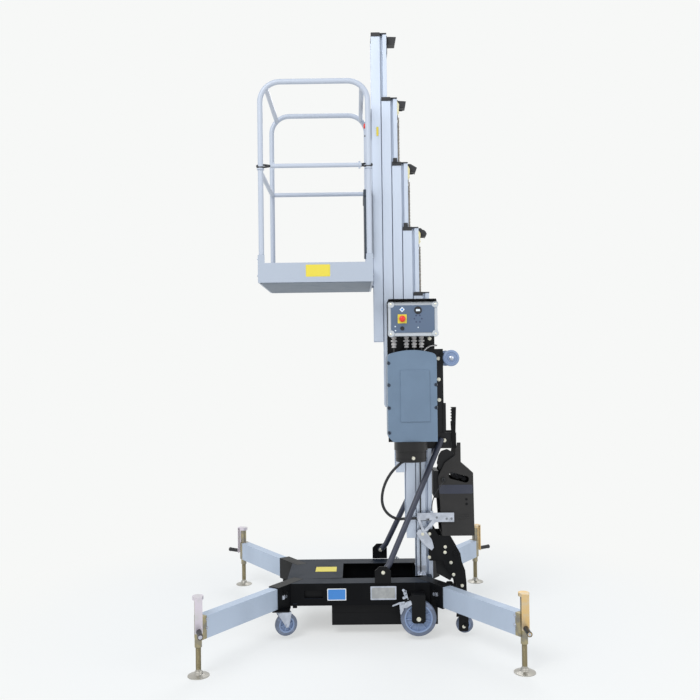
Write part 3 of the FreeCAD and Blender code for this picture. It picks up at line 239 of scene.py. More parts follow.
floor_mesh = bmesh.new()
bmesh.ops.create_circle(floor_mesh, cap_ends=True, radius=FLOOR_RADIUS, segments=96)
floor_data = bpy.data.meshes.new("floor")
floor_mesh.to_mesh(floor_data)
floor = bpy.data.objects.new("floor", floor_data)
scene.collection.objects.link(floor)
ground = Finish("studio floor", paint(244, 245, 245), 0.9)
reach = ground.node("ShaderNodeVectorMath", {"operation": "LENGTH"}, {0: ground.place}, "Value")
fade = reach.between(FADE_START, FADE_END) * (1 - FLOOR_GLOW) + FLOOR_GLOW
glow = ground.node("ShaderNodeEmission", {}, {"Color": BACKGROUND, "Strength": 1.0})
shaded = Wire(ground, ground.shader.outputs[0])
surface = ground.node("ShaderNodeMixShader", {}, {0: fade, 1: shaded, 2: glow})
ground.feed(ground.tree.nodes["Material Output"].inputs["Surface"], surface)
floor_data.materials.append(ground.material)

world = bpy.data.worlds.new("studio")
world.use_nodes = True
scene.world = world
sky = Nodes(world.node_tree)
fill = sky.tree.nodes["Background"]
sky.feed(fill.inputs["Color"], SKY_BLUE)
sky.feed(fill.inputs["Strength"], SKY_STRENGTH)
shown = sky.node("ShaderNodeBackground", {}, {"Color": BACKGROUND, "Strength": 1.0})
direct = 0
for ray in ("Is Camera Ray", "Is Glossy Ray", "Is Transmission Ray"):
    is_ray = sky.node("ShaderNodeLightPath", {}, {}, ray)
    direct = sky.node("ShaderNodeMath", {"operation": "MAXIMUM"}, {0: is_ray, 1: direct})
either = sky.node("ShaderNodeMixShader", {}, {0: direct, 1: Wire(sky, fill.outputs[0]), 2: shown})
sky.feed(sky.tree.nodes["World Output"].inputs["Surface"], either)


def lamp(name, place, target, size, power):
    """A round soft lamp of size metres that faces its target."""
    made = bpy.data.objects.new(name, bpy.data.lights.new(name, "AREA"))
    made.data.shape = "DISK"
    made.data.size = size
    made.data.energy = power
    made.location = place
    made.rotation_euler = (Vector(target) - Vector(place)).to_track_quat("-Z", "Y").to_euler()
    scene.collection.objects.link(made)


lamp("key", (-3.5, -6.5, 7.5), (0, 0, 1.6), 5.0, 450)
lamp("side", (4.5, -3.0, 3.0), (0.2, 0, 1.2), 3.0, 55)
lamp("back", (1.0, 4.5, 5.5), (0, 0, 1.8), 3.5, 90)

# Mast sections. The lowest one is fixed and four slide in each other, each one aluminium
# extrusion, anodised, with fine drawing lines along its length and slightly broken edges.

SECTIONS = 5
MERGE_DISTANCE = 0.00002
FLAT_ANGLE = math.radians(0.4)
BEVEL_ANGLE = math.radians(38)


def brushed(name, colour, roughness, metallic):
    """Drawn aluminium: fine lines along Z and faint cloudy handling marks."""
    made = Finish(name, colour, roughness, metallic)
    lines = made.noise(0.0014, (1, 1, 0.01), 4.0)
    marks = made.noise(0.22, (1, 1, 0.35), 4.0).between(0.35, 0.75)
    made.set("Base Color", made.mix(marks, colour, shade(colour, 0.9)))
    made.set("Roughness", roughness + lines * 0.12 + marks * 0.08)
    return made.relief(lines, 0.00008, 0.5)


def body_of(node):
    """The body a CAD node rides on."""
    return frame["nodes"][node]["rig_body"]


def piece(name, shape, body, material, replaced=(), bevel=0.0, smooth=35):
    """Turn a bmesh into an object in its place: smooth where it is round, bevelled, on its body."""
    mesh = bpy.data.meshes.new(name)
    bmesh.ops.recalc_face_normals(shape, faces=shape.faces)
    shape.to_mesh(mesh)
    shape.free()
    mesh.shade_smooth()
    mesh.set_sharp_from_angle(angle=math.radians(smooth))
    mesh.materials.append(material)
    made = bpy.data.objects.new(name, mesh)
    scene.collection.objects.link(made)
    if bevel:
        edge = made.modifiers.new("edge", "BEVEL")
        edge.width = bevel
        edge.segments = 2
        edge.limit_method = "ANGLE"
        edge.angle_limit = BEVEL_ANGLE
        edge.harden_normals = True
    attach(made, body)
    if replaced:
        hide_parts(*replaced)


def copied(node):
    """A copy of a CAD node's own shape, its loose triangles merged."""
    shape = bmesh.new()
    shape.from_mesh(frame["nodes"][node].data)
    bmesh.ops.remove_doubles(shape, verts=shape.verts, dist=MERGE_DISTANCE)
    return shape


def dressed(node, material, bevel):
    """The CAD node's own shape with broken edges and a finish."""
    shape = copied(node)
    bmesh.ops.dissolve_limit(shape, angle_limit=FLAT_ANGLE, verts=shape.verts, edges=shape.edges)
    piece(node + "_skin", shape, body_of(node), material, (node,), bevel)


MAST_ALUMINIUM = brushed("mast aluminium", paint(198, 208, 224), 0.36, 0.7)
for number in range(1, SECTIONS + 1):
    dressed(f"mast_section_{number}", MAST_ALUMINIUM, 0.0012)

# Section heads. Moulded black caps close the extrusions, two with slide stops at their sides and
# four with a plastic pulley housing behind them. Yellow zinc clips below anchor the lift chains.

LOWEST_FRONT, LOWEST_FOOT = 355, 130
STEP_FORWARD, RISE = 61.5, 405
SECTION_LENGTH, SECTION_DEPTH = 1920, 98
STOP_IN, STOP_OUT = 85, 94
CLIP_WIDTH = 26
HOUSING_HALF = 32
CORNER_STEPS = 4


def moulded(name, colour, roughness=0.5, grain=0.0009):
    """Injection-moulded plastic with a fine spark texture."""
    made = Finish(name, colour, roughness)
    texture = made.noise(grain, detail=2.0)
    cloud = made.noise(0.12, detail=4.0)
    made.set("Base Color", made.mix(cloud.between(0.3, 0.8), colour, shade(colour, 1.1)))
    made.set("Roughness", roughness - 0.06 + cloud * 0.12)
    return made.relief(texture, 0.00015, 0.35)


def plated(name, colour, tint, roughness=0.3, patch=0.035):
    """Zinc plate with the uneven film of its passivation."""
    made = Finish(name, colour, roughness, 0.9)
    film = made.noise(patch, detail=4.0)
    made.set("Base Color", made.mix(film.between(0.35, 0.65), colour, tint))
    made.set("Roughness", roughness + made.noise(0.006, detail=3.0) * 0.2)
    return made.relief(made.noise(0.0012), 0.0001, 0.3)


def section_front(number):
    """X of a section's front, counted from the innermost one, which stands furthest forward."""
    return LOWEST_FRONT - (SECTIONS - number) * STEP_FORWARD


def section_top(number):
    return LOWEST_FOOT + (SECTIONS - number) * RISE + SECTION_LENGTH


def block(shape, corner, opposite):
    """A box between two corners, in millimetres as all shapes are."""
    low = at(*map(min, corner, opposite))
    high = at(*map(max, corner, opposite))
    made = bmesh.ops.create_cube(shape, size=1)["verts"]
    bmesh.ops.scale(shape, verts=made, vec=high - low)
    bmesh.ops.translate(shape, verts=made, vec=(low + high) / 2)


def rod(shape, start, end, radius, tip=None, segments=24):
    """A round bar, or a cone where its tip has another radius."""
    first, last = at(*start), at(*end)
    turn = (last - first).to_track_quat("Z", "Y").to_matrix().to_4x4()
    bmesh.ops.create_cone(
        shape, cap_ends=True, segments=segments, radius1=radius / 1000,
        radius2=(radius if tip is None else tip) / 1000, depth=(last - first).length,
        matrix=Matrix.Translation((first + last) / 2) @ turn,
    )


def extruded(shape, face, offset):
    """Pull a face out into a solid, and give the vertices of its far end."""
    grown = bmesh.ops.extrude_face_region(shape, geom=[face])["geom"]
    verts = [item for item in grown if isinstance(item, bmesh.types.BMVert)]
    bmesh.ops.translate(shape, verts=verts, vec=offset)
    return verts


def flat(shape, outline, start, end, corner=0.0):
    """A plate with an outline in X and Z, from one Y to another, its corners rounded."""
    low, high = sorted((start, end))
    face = shape.faces.new([shape.verts.new(at(x, low, z)) for x, z in outline])
    verts = extruded(shape, face, (0, (high - low) / 1000, 0))
    if corner:
        edges = [edge for vert in verts for edge in vert.link_edges
                 if abs(edge.verts[0].co.y - edge.verts[1].co.y) > 1e-7]
        bmesh.ops.bevel(shape, geom=edges, offset=corner / 1000, offset_type="OFFSET",
                        segments=CORNER_STEPS, profile=0.5, affect="EDGES", clamp_overlap=True,
                        material=-1)


BLACK_PLASTIC = moulded("black plastic", paint(33, 34, 38))
YELLOW_ZINC = plated("yellow zinc", paint(222, 212, 158), paint(204, 200, 176))
for number in range(1, SECTIONS + 1):
    front, top = section_front(number), section_top(number)
    back = front + SECTION_DEPTH
    body = body_of(f"mast_section_{number}")
    dressed(f"mast_cap_{number}", BLACK_PLASTIC, 0.0012)
    if number in (3, 4):
        stops = bmesh.new()
        for sign in (-1, 1):
            block(stops, (front + 6, STOP_IN * sign, top - 4), (front + 32, STOP_OUT * sign, top + 30))
        piece(f"head_stop_{number}", stops, body, BLACK_PLASTIC, bevel=0.003)
    if number in (2, 3, 4):
        clips = bmesh.new()
        for low in (-76, 50):
            flat(clips, [
                (back, top - 104), (back + 9, top - 94), (back + 13, top - 36), (back, top - 14),
            ], low, low + CLIP_WIDTH, 3)
            rod(clips, (back + 7, low - 3, top - 86), (back + 7, low + CLIP_WIDTH + 3, top - 86), 5)
        piece(f"chain_anchor_{number}", clips, body, YELLOW_ZINC, bevel=0.0006)

for number, outline in enumerate((
    ((214, 3672), (270, 3670), (261, 3623), (214, 3623)),
    ((274, 3266), (327, 3262), (321, 3222), (274, 3222)),
    ((334, 2866), (351, 2866), (391, 2842), (380, 2812), (334, 2838)),
    ((396, 2461), (410, 2461), (448, 2426), (438, 2404), (396, 2432)),
), 1):
    housing = bmesh.new()
    flat(housing, outline, -HOUSING_HALF, HOUSING_HALF, 2)
    piece(f"pulley_box_{number}", housing, body_of(f"mast_cap_{number}"), BLACK_PLASTIC,
          bevel=0.001)

# Lift chains. Two strands of punched steel links, laced on pins, run side by side from the head
# of each of three sections down into the channel behind.

LINKS, LINK_PITCH = 73, 19.0
LINK_HALF, LINK_WAIST, LINK_THICK = 5.0, 3.6, 3.4
CHAIN_OFF, CHAIN_FOOT = 8, 1507
CHAIN_STEEL = plated("chain steel", paint(158, 153, 146), paint(112, 108, 104), 0.34, 0.01)


def link(shape, x, low, y):
    """One link plate, waisted between its two pins."""
    high = low + LINK_PITCH
    half = [
        (-LINK_HALF * 0.55, low - LINK_HALF * 0.85), (-LINK_HALF, low),
        (-LINK_WAIST, low + LINK_PITCH / 2), (-LINK_HALF, high),
        (-LINK_HALF * 0.55, high + LINK_HALF * 0.85),
    ]
    outline = [(x + out, z) for out, z in half] + [(x - out, z) for out, z in reversed(half)]
    flat(shape, outline, y, y + LINK_THICK)


for number in (2, 3, 4):
    node = f"lift_chain_{number}"
    centre = section_front(number) + SECTION_DEPTH + CHAIN_OFF
    chain = bmesh.new()
    for count in range(LINKS):
        low = section_top(number) - CHAIN_FOOT + count * LINK_PITCH
        lacing = 4.5 * (count % 2)
        for inner in (-66, 48):
            for y in (inner, inner + 9):
                link(chain, centre, low, y + lacing)
            rod(chain, (centre, inner - 1, low), (centre, inner + 18, low), 2.4, segments=8)
    piece(node + "_links", chain, body_of(node), CHAIN_STEEL, (node,), smooth=30)

# Chassis. A folded steel deck over a well tray, powder-coated black, with the sockets of the four
# outriggers welded in its corners, lock pins, bolted lugs for the braces, dark liners in its
# pockets and blank plates. The deck's upward faces carry a painted highlight, paler and bluer.

CHASSIS_FACE, DECK_FACE = -285, 315.8
WASHER_WIDE, WASHER_THICK = 1.45, 0.3
DUST = paint(150, 148, 142)


def coated(name, colour, roughness, dust=0.05, gloss=0.5, top=None):
    """Powder coat: orange peel, slight gloss changes, dust in clouds, and a painted top highlight."""
    made = Finish(name, colour, roughness)
    peel = made.noise(0.003, detail=2.0)
    cloud = made.noise(0.09, detail=5.0).between(0.45, 0.85)
    made.set("Specular IOR Level", gloss)
    # Painted highlight: faces that look up take the paler colour top, as if lit from above.
    if top:
        facing = made.node("ShaderNodeTexCoord", {}, {}, "Normal")
        slope = made.node("ShaderNodeSeparateXYZ", {}, {0: facing}, 2)
        colour = made.mix(slope.between(0.4, 0.9), colour, top)
    made.set("Base Color", made.mix(cloud * dust, colour, DUST))
    made.set("Roughness", roughness + cloud * 0.12 + peel * 0.05)
    return made.relief(peel, 0.00025, 0.3)


def bolt(shape, place, out, radius):
    """A hexagon head on its washer, that stands out of a face."""
    start = Vector(place)
    out = Vector(out)
    rod(shape, start - out, start + out * radius * WASHER_THICK, radius * WASHER_WIDE, segments=20)
    rod(shape, start, start + out * radius, radius, segments=6)


def label(name, low, high, face, border, colour, edge, body="base"):
    """A blank label on the entry side: a coloured field inside its border."""
    for suffix, inset, proud, finish in (("border", 0, 0.8, border), ("field", edge, 1.4, colour)):
        shape = bmesh.new()
        flat(shape, [
            (low[0] + inset, low[1] + inset), (high[0] - inset, low[1] + inset),
            (high[0] - inset, high[1] - inset), (low[0] + inset, high[1] - inset),
        ], face - proud, face + 0.5, 4)
        piece(f"{name}_{suffix}", shape, body, finish)


BLACK_COAT = coated("black coat", paint(8, 9, 12), 0.42, 0.008, 0.18)
# A black coat whose upward faces get a painted highlight in pale blue grey.
DECK_COAT_AND_SHEEN = coated("deck coat and painted sheen", paint(8, 9, 12), 0.45, 0.012, 0.1, paint(30, 37, 48))
BRIGHT_ZINC = plated("bright zinc", paint(196, 202, 214), paint(176, 182, 194), 0.25)
CREAM_STEEL = plated("bolt zinc", paint(232, 230, 214), paint(214, 212, 200), 0.28)
SILVER_PLATE = plated("silver plate", paint(176, 178, 178), paint(160, 162, 164), 0.35)
LABEL_YELLOW = coated("yellow label", paint(226, 208, 70), 0.4, 0.02)
LABEL_BLUE = coated("blue label", paint(60, 128, 200), 0.4, 0.02)
LABEL_WHITE = coated("white label", paint(225, 228, 230), 0.4, 0.02)


def near_bolts(name, face, radius, spots, material=CREAM_STEEL):
    """Bolts that stand out of a face towards the entry side."""
    shape = bmesh.new()
    for x, z in spots:
        bolt(shape, (x, face, z), (0, -1, 0), radius)
    piece(name, shape, "base", material, bevel=0.0004)


for node in ("well_tray", "outrigger_sockets", "wheel_brackets", "caster_plates", "brace_lugs",
             "tilt_frame"):
    dressed(node, BLACK_COAT, 0.0015)
dressed("chassis", DECK_COAT_AND_SHEEN, 0.004)
label("plate", (61, 216), (214, 296), CHASSIS_FACE, BRIGHT_ZINC, SILVER_PLATE, 8)
label("blue_label", (-195, 215), (-83, 285), CHASSIS_FACE, LABEL_WHITE, LABEL_BLUE, 5)
deck_label = bmesh.new()
corners = ((-278, -24), (-146, -24), (-146, 86), (-277, 88))
sheet = deck_label.faces.new([deck_label.verts.new(at(x, y, DECK_FACE)) for x, y in corners])
extruded(deck_label, sheet, (0, 0, 0.001))
piece("deck_label", deck_label, "base", LABEL_YELLOW, bevel=0.0003)

liners = bmesh.new()
for sign in (-1, 1):
    block(liners, (-350, 258 * sign, 205), (-200, 262 * sign, 300))
    block(liners, (-170, 246 * sign, 178), (460, 249 * sign, 308))
block(liners, (-169, -246, 178), (-166, 246, 308))
piece("pocket_liners", liners, "base", BLACK_COAT)
seams = bmesh.new()
block(seams, (318, -286.2, 186), (322, -284, 314))
block(seams, (-168, -251.2, 128), (460, -249.5, 132))
piece("weld_seams", seams, "base", BLACK_COAT, bevel=0.0005)

pins = bmesh.new()
for spot, aim in (((-440, -292, 250), (-0.25, -0.97, 0)), ((434, -292, 250), (0.35, -0.9, 0.2))):
    start = Vector(spot)
    out = Vector(aim).normalized()
    rod(pins, start, start + out * 40, 8)
    rod(pins, start + out * 12, start + out * 20, 15, segments=6)
    rod(pins, start + out * 34, start + out * 52, 14, 11)
piece("lock_pins", pins, "base", BRIGHT_ZINC, bevel=0.0008)
near_bolts("lug_bolts", -296, 7.5, [(137, 379)])
near_bolts("far_lug_bolts", 252, 8, [(139, 381)])

# Braces. Round tubes, bent near the foot and flattened there, run from the deck lugs to the plates
# behind the mast. They are powder-coated a dark blue grey.

dressed("mast_braces", coated("brace coat", paint(52, 56, 72), 0.36), 0.001)

# Outriggers. Square aluminium arms carry a bolted screw jack each: a zinc-plated tube, a folded
# crank with a rubber grip, and a threaded leg on a round pad.

FOOT_X, FOOT_Y, GRIP_Z = 850, 840, 242
ARM_X, ARM_Y = 0.575, 0.818
BOLT_INWARD, BOLT_ASIDE = 36, 30
THREAD_PITCH = 0.004


def passivated(name, left, right):
    """Zinc plate whose film is pearly on the left jacks and golden on the right ones."""
    made = Finish(name, left, 0.3, 0.7)
    side = made.along(0).between(-0.3, 0.3)
    film = made.noise(0.05, detail=4.0).between(0.4, 0.7)
    colour = made.mix(side, left, right)
    made.set("Base Color", made.mix(film * 0.5, colour, paint(198, 200, 196)))
    made.set("Roughness", 0.3 + made.noise(0.006, detail=3.0) * 0.2)
    return made.relief(made.noise(0.0012), 0.0001, 0.3)


def threaded(name, colour, foot):
    """A plated leg with a screw thread above its paler pad."""
    made = Finish(name, colour, 0.32, 0.85)
    height = made.along(2)
    made.set("Base Color", made.mix(height.between(0.03, 0.04), foot, colour))
    turns = height * (math.tau / THREAD_PITCH)
    wave = made.node("ShaderNodeMath", {"operation": "SINE"}, {0: turns})
    made.set("Roughness", 0.3 + made.noise(0.01) * 0.2)
    return made.relief(wave * height.between(0.03, 0.034), 0.0008, 0.8)


def turned(shape, centre, axis, profile, segments):
    """A turned form: a profile of radius and distance along the axis, spun round it."""
    axis = Vector(axis).normalized()
    side = axis.orthogonal().normalized()
    middle = at(*centre)
    verts = [shape.verts.new(middle + side * radius / 1000 + axis * along / 1000)
             for radius, along in profile]
    following = verts[1:] + (verts[:1] if profile[0][0] > 0 else [])
    edges = [shape.edges.new(pair) for pair in zip(verts, following)]
    bmesh.ops.spin(shape, geom=verts + edges, cent=middle, axis=axis, angle=math.tau,
                   steps=segments, use_merge=True)
    bmesh.ops.remove_doubles(shape, verts=shape.verts, dist=1e-6)


ARM_ALUMINIUM = brushed("arm aluminium", paint(186, 199, 217), 0.42, 0.4)
OLIVE_ZINC = plated("olive zinc", paint(168, 158, 126), paint(138, 134, 124))
PEARL_ZINC = passivated("pearl zinc", paint(216, 208, 218), paint(222, 190, 134))
LEG_ZINC = threaded("leg zinc", paint(138, 128, 100), paint(178, 175, 168))
dressed("outrigger_arms", ARM_ALUMINIUM, 0.003)
dressed("jack_tubes", OLIVE_ZINC, 0.001)
dressed("jack_cranks", PEARL_ZINC, 0.0015)
grips = bmesh.new()
ends = bmesh.new()
for x_side, y_side, turn in ((-1, -1, -74), (1, -1, -90), (-1, 1, 149), (1, 1, 31)):
    centre = Vector((x_side * FOOT_X, y_side * FOOT_Y, GRIP_Z))
    out = Vector((math.cos(math.radians(turn)), math.sin(math.radians(turn)), 0))
    turned(grips, centre, out, [
        (11, 44), (14, 44), (14.5, 47), (13, 52), (13, 118), (14.5, 123), (14, 131), (11, 132),
    ], 32)
    turned(ends, centre, out, [(0, 129), (7, 129), (7, 132.5), (0, 133)], 20)
piece("crank_grips", grips, "base", HOSE_RUBBER, smooth=50)
piece("grip_ends", ends, "base", BRIGHT_ZINC, smooth=40)
arm_bolts = bmesh.new()
for x_side in (-1, 1):
    for y_side in (-1, 1):
        x = x_side * (FOOT_X - ARM_X * BOLT_INWARD - ARM_Y * BOLT_ASIDE)
        y = y_side * (FOOT_Y - ARM_Y * BOLT_INWARD + ARM_X * BOLT_ASIDE)
        for height in (243, 291):
            bolt(arm_bolts, (x, y, height), (-x_side * ARM_Y, y_side * ARM_X, 0), 6.5)
piece("arm_bolts", arm_bolts, "base", BRIGHT_ZINC, bevel=0.0005)
for corner in ("near_left", "near_right", "far_left", "far_right"):
    dressed(f"jack_leg_{corner}", LEG_ZINC, 0.001)

# Load wheels. Grey rubber tyres on ribbed plastic rims turn on a steel axle in black plates that
# are rounded below. Each has a bright spring brake, bolted on its bracket.

AXLE_X, AXLE_Z, WHEEL_Y, BRACKET_FACE = 338, 129, 345, 377
TYRE = rubber("tyre", paint(98, 107, 126), 0.5)
RIM = moulded("wheel rim", paint(128, 146, 178), 0.42)


def spun(name, places, out, profile, segments, material, smooth=40, body="base", replaced=()):
    """One piece of turned forms that have the same profile."""
    shape = bmesh.new()
    for place in places:
        turned(shape, place, out, profile, segments)
    piece(name, shape, body, material, replaced, smooth=smooth)


def wheel(name, body, centre, axis, radius, wide, rim, hub, ribs):
    """A tyre with rounded shoulders on a rim with ribs between its ring and its hub."""
    half = wide / 2
    deep = half * 0.35
    bore = hub * 0.38
    ring = rim - 9
    spun(f"{name}_tyre", [centre], axis, [
        (rim - 2, -half + 1), (radius - 7, -half), (radius - 2, -half + 3), (radius, -half + 8),
        (radius, half - 8), (radius - 2, half - 3), (radius - 7, half), (rim - 2, half - 1),
    ], 72, TYRE, 50, body, (body,))
    disc = bmesh.new()
    turned(disc, centre, axis, [
        (bore, -half - 1), (hub - 1, -half - 1), (hub, -half), (hub, -deep), (ring, -deep),
        (ring, -half + 2), (rim - 7, -half + 0.5), (rim, -half + 0.5), (rim, half - 0.5),
        (rim - 7, half - 0.5), (ring, half - 2), (ring, deep), (hub, deep), (hub, half),
        (hub - 1, half + 1), (bore, half + 1),
    ], 60)
    axis = Vector(axis)
    size = ((ring - hub) / 1000 + 0.004, (wide - 8) / 1000, 0.005)
    for count in range(ribs):
        angle = math.tau * (count + 0.5) / ribs
        out = Matrix.Rotation(angle, 3, axis) @ axis.orthogonal().normalized()
        middle = Vector(centre) + out * (ring + hub) / 2
        turn = Matrix((out, axis, out.cross(axis))).transposed().to_4x4()
        rib = bmesh.ops.create_cube(disc, size=1)["verts"]
        bmesh.ops.scale(disc, verts=rib, vec=size)
        bmesh.ops.transform(disc, verts=rib, matrix=Matrix.Translation(at(*middle)) @ turn)
    piece(f"{name}_rim", disc, body, RIM, bevel=0.0008)


for side, sign in (("near", -1), ("far", 1)):
    wheel(f"load_{side}", f"load_wheel_{side}", (AXLE_X, WHEEL_Y * sign, AXLE_Z), (0, 1, 0),
          104, 44, 82, 27, 9)
    face = BRACKET_FACE * sign
    brake = bmesh.new()
    flat(brake, [
        (187, 204), (232, 221), (240, 216), (258, 226), (256, 233), (226, 229), (185, 211),
    ], face, face + 4 * sign, 2)
    flat(brake, [
        (226, 219), (231, 160), (236, 158), (250, 182), (252, 202), (252, 224),
    ], face, face + 4 * sign, 2)
    flat(brake, [(244, 194), (256, 225), (292, 241), (300, 214), (268, 194)], face - 34 * sign, face, 3)
    for x, z in ((251, 298), (258, 279), (266, 261), (252, 254)):
        bolt(brake, (x, face + 2 * sign, z), (0, sign, 0), 5.5)
    rod(brake, (250, face + sign, 301), (263, face + sign, 250), 4)
    rod(brake, (264, face + sign, 299), (277, face + sign, 244), 2.5)
    piece(f"brake_{side}", brake, "base", BRIGHT_ZINC, bevel=0.0006)
    axle = bmesh.new()
    bolt(axle, (AXLE_X, face, AXLE_Z), (0, sign, 0), 9)
    piece(f"axle_bolt_{side}", axle, "base", CREAM_STEEL, bevel=0.0006)

# Casters and rear wheels. Swivel casters in bright pressed forks stand under the front corners.
# Two small wheels run beside black holder plates on the axle of the tilt frame, which is bolted
# to the mast, and a round tube crosses it.

SWIVEL = math.radians(22)
PIVOT_X, PIVOT_Y, TRAIL, CASTER_Z = -462, 330, 26, 91
FORK_HALF = 26
REAR_AXLE_X, REAR_AXLE_Z = 613, 75
TILT_FACE = -104
OUT = (0, -1, 0)

for side, sign in (("near", -1), ("far", 1)):
    axis = Vector((-math.sin(SWIVEL), math.cos(SWIVEL), 0))
    centre = (PIVOT_X + TRAIL * math.cos(SWIVEL), PIVOT_Y * sign + TRAIL * math.sin(SWIVEL), CASTER_Z)
    wheel(f"caster_{side}", f"caster_wheel_{side}", centre, axis, 66, 34, 47, 18, 6)
    dressed(f"caster_fork_{side}", BRIGHT_ZINC, 0.0015)
    fork_bolts = bmesh.new()
    for way in (-axis, axis):
        bolt(fork_bolts, Vector(centre) + way * FORK_HALF, way, 7)
    piece(f"fork_bolts_{side}", fork_bolts, f"caster_fork_{side}", BRIGHT_ZINC, bevel=0.0005)
    wheel(f"rear_{side}", f"rear_wheel_{side}", (REAR_AXLE_X, 300 * sign, REAR_AXLE_Z), (0, 1, 0),
          50, 30, 33, 17, 5)
    plate = bmesh.new()
    flat(plate, [(577, 38), (632, 38), (634, 118), (618, 152), (577, 152)], 318 * sign, 323 * sign, 10)
    piece(f"rear_plate_{side}", plate, "base", BLACK_COAT, bevel=0.001)
    axle = bmesh.new()
    bolt(axle, (606, 322 * sign, 66), (0, sign, 0), 7)
    piece(f"rear_axle_bolt_{side}", axle, "base", CREAM_STEEL, bevel=0.0005)

near_bolts("tilt_bolts", TILT_FACE, 7, [
    (431, 562), (428, 418), (527, 481), (525, 448), (561, 385), (576, 311), (628, 243),
])
spun("cross_tube_end", [(593, TILT_FACE, 436)], OUT, [
    (0, -2), (21, -2), (21, 5), (19, 7), (12, 7), (10, 3), (0, 3),
], 32, BLACK_COAT)

# Controls. A painted plate on the mast's side carries a grey cast box with a screw lug at each
# corner, a black visor over it, and a blue panel with a stop button, key, meter and keypad.
# Plastic glands lead its cables down behind a bent lip.

BOX_FACE, PANEL_FACE = -250, -254
PLATE_EDGE, PLATE_SHARE = 0.478, 0.943
GLAND_Y, GLAND_TOP = -178, 1777
BOX_GREY = coated("box grey", paint(188, 193, 199), 0.36, 0.02)
PANEL_BLUE = coated("panel blue", paint(87, 104, 128), 0.4, 0.02)
STOP_RED = moulded("stop red", paint(224, 52, 44), 0.3)
PANEL_WHITE = moulded("panel white", paint(222, 232, 240), 0.35)
GLAND_GREY = moulded("gland grey", paint(186, 182, 180), 0.4)
KEY_BLUE = moulded("key blue", paint(58, 68, 96))


def on_face(name, outline, depth, colour, face=PANEL_FACE, corner=0.0):
    """A thin flat shape on a face of the entry side."""
    shape = bmesh.new()
    flat(shape, outline, face - depth, face + 0.6, corner)
    piece(name, shape, "base", colour, bevel=0.0002)


def oblong(x, z, half, tall):
    """An outline round a middle, from its half width and half height."""
    return [(x - half, z - tall), (x + half, z - tall), (x + half, z + tall), (x - half, z + tall)]


dressed("mast_foot", BRIGHT_ZINC, 0.0015)
plate = copied("control_backplate")
for vert in plate.verts:
    vert.co.x = PLATE_EDGE - (PLATE_EDGE - vert.co.x) * PLATE_SHARE
piece("backplate_sheet", plate, "base", BLACK_COAT,
      ("control_backplate",), 0.0015)
for node, shift, grow, material in (
    ("control_box", 14, 1.0, BOX_GREY), ("control_panel", 7, 1.035, PANEL_BLUE),
):
    shape = copied(node)
    low = min(vert.co.x for vert in shape.verts)
    for vert in shape.verts:
        vert.co.x = low + shift / 1000 + (vert.co.x - low) * grow
    piece(node + "_cast", shape, "base", material, (node,), 0.001)
lugs = [(x, BOX_FACE + 1, z) for x in (206, 470) for z in (1791, 1966)]
spun("corner_lugs", lugs, OUT, [(0, 0), (20, 0), (20, 6), (18, 8), (0, 8)], 40, BOX_GREY)
visor = bmesh.new()
block(visor, (190, -266, 1982), (476, -172, 1999))
piece("panel_visor", visor, "base", BLACK_COAT, bevel=0.002)

on_face("stop_plate", oblong(272, 1880, 27, 27), 3, LABEL_YELLOW, corner=3)
spun("stop_button", [(272, PANEL_FACE - 3, 1880)], OUT, [
    (0, 0), (11, 0), (11, 9), (18, 10), (19, 14), (17, 19), (11, 22), (0, 23),
], 40, STOP_RED, 60, replaced=("panel_controls",))
diamond = [(272, 1920), (288, 1936), (272, 1952), (256, 1936)]
on_face("mode_diamond", diamond, 1, PANEL_WHITE)
on_face("mode_spot", oblong(272, 1936, 6, 6), 1.6, LABEL_BLUE, corner=5)
spun("hour_meter", [(367, PANEL_FACE + 1, 1931)], OUT, [
    (0, 0), (23, 0), (23, 4), (21, 6), (17, 6), (15, 3.5), (0, 3.5),
], 40, BLACK_PLASTIC)
on_face("meter_screen", oblong(367, 1931, 12, 6), 4.4, PANEL_WHITE, corner=1.5)
key = bmesh.new()
turned(key, (272, PANEL_FACE + 1, 1823), OUT, [
    (0, 0), (12, 0), (12, 5), (9, 8), (7, 8), (6, 5), (0, 5),
], 32)
block(key, (270.5, -261, 1818), (273.5, -258, 1828))
piece("key_switch", key, "base", BLACK_PLASTIC, smooth=40)
lights = [(x, PANEL_FACE + 1, z) for x, z in ((230, 1834), (231, 1810), (367, 1828))]
spun("panel_lights", lights, OUT, [
    (0, 0), (4, 0), (4, 2.2), (3, 3), (0, 3),
], 16, PANEL_WHITE, 50)
angles = [math.tau * count / 6 for count in range(6)]
keys = [(367 + 22 * math.cos(angle), PANEL_FACE + 1, 1880 + 22 * math.sin(angle)) for angle in angles]
spun("panel_keys", keys, OUT, [(0, 0), (5, 0), (5, 1.4), (0, 1.6)], 12, KEY_BLUE, 35)
screws = [(x, BOX_FACE - 7, z) for x in (204, 472) for z in (1789, 1968)]
spun("lug_screws", screws, OUT, [
    (0, 0), (6, 0), (6, 1.5), (4, 2.5), (0, 2.5),
], 20, CREAM_STEEL)

glands = [(178 + 292 * share, GLAND_Y, GLAND_TOP) for share in (0.16, 0.42, 0.58, 0.73)]
spun("gland_bodies", glands, (0, 0, -1), [
    (0, 0), (14, 0), (15, 2), (15, 13), (10, 15), (10, 20), (17, 22), (19, 24), (19, 31), (17, 33),
    (10, 35), (10, 40), (15, 42), (16, 44), (16, 53), (10, 55), (10, 59), (14, 61), (14, 68), (0, 68),
], 28, GLAND_GREY, 30, replaced=("cable_glands",))
leads = bmesh.new()
for x, y, z in glands:
    rod(leads, (x, y, z - 53), (x, y, z - 95), 5.5)
piece("gland_leads", leads, "base", HOSE_RUBBER)
near_bolts("plate_bolts", -106, 8, [(448, 1764)])
lip = bmesh.new()
flat(lip, [
    (404, 1680), (424, 1699), (447, 1712), (470, 1717), (486, 1716), (488, 1724), (470, 1727),
    (442, 1722), (416, 1707), (398, 1688),
], -176, -112, 2)
piece("cable_lip", lip, "base", BLACK_PLASTIC, bevel=0.001)
rim = bmesh.new()
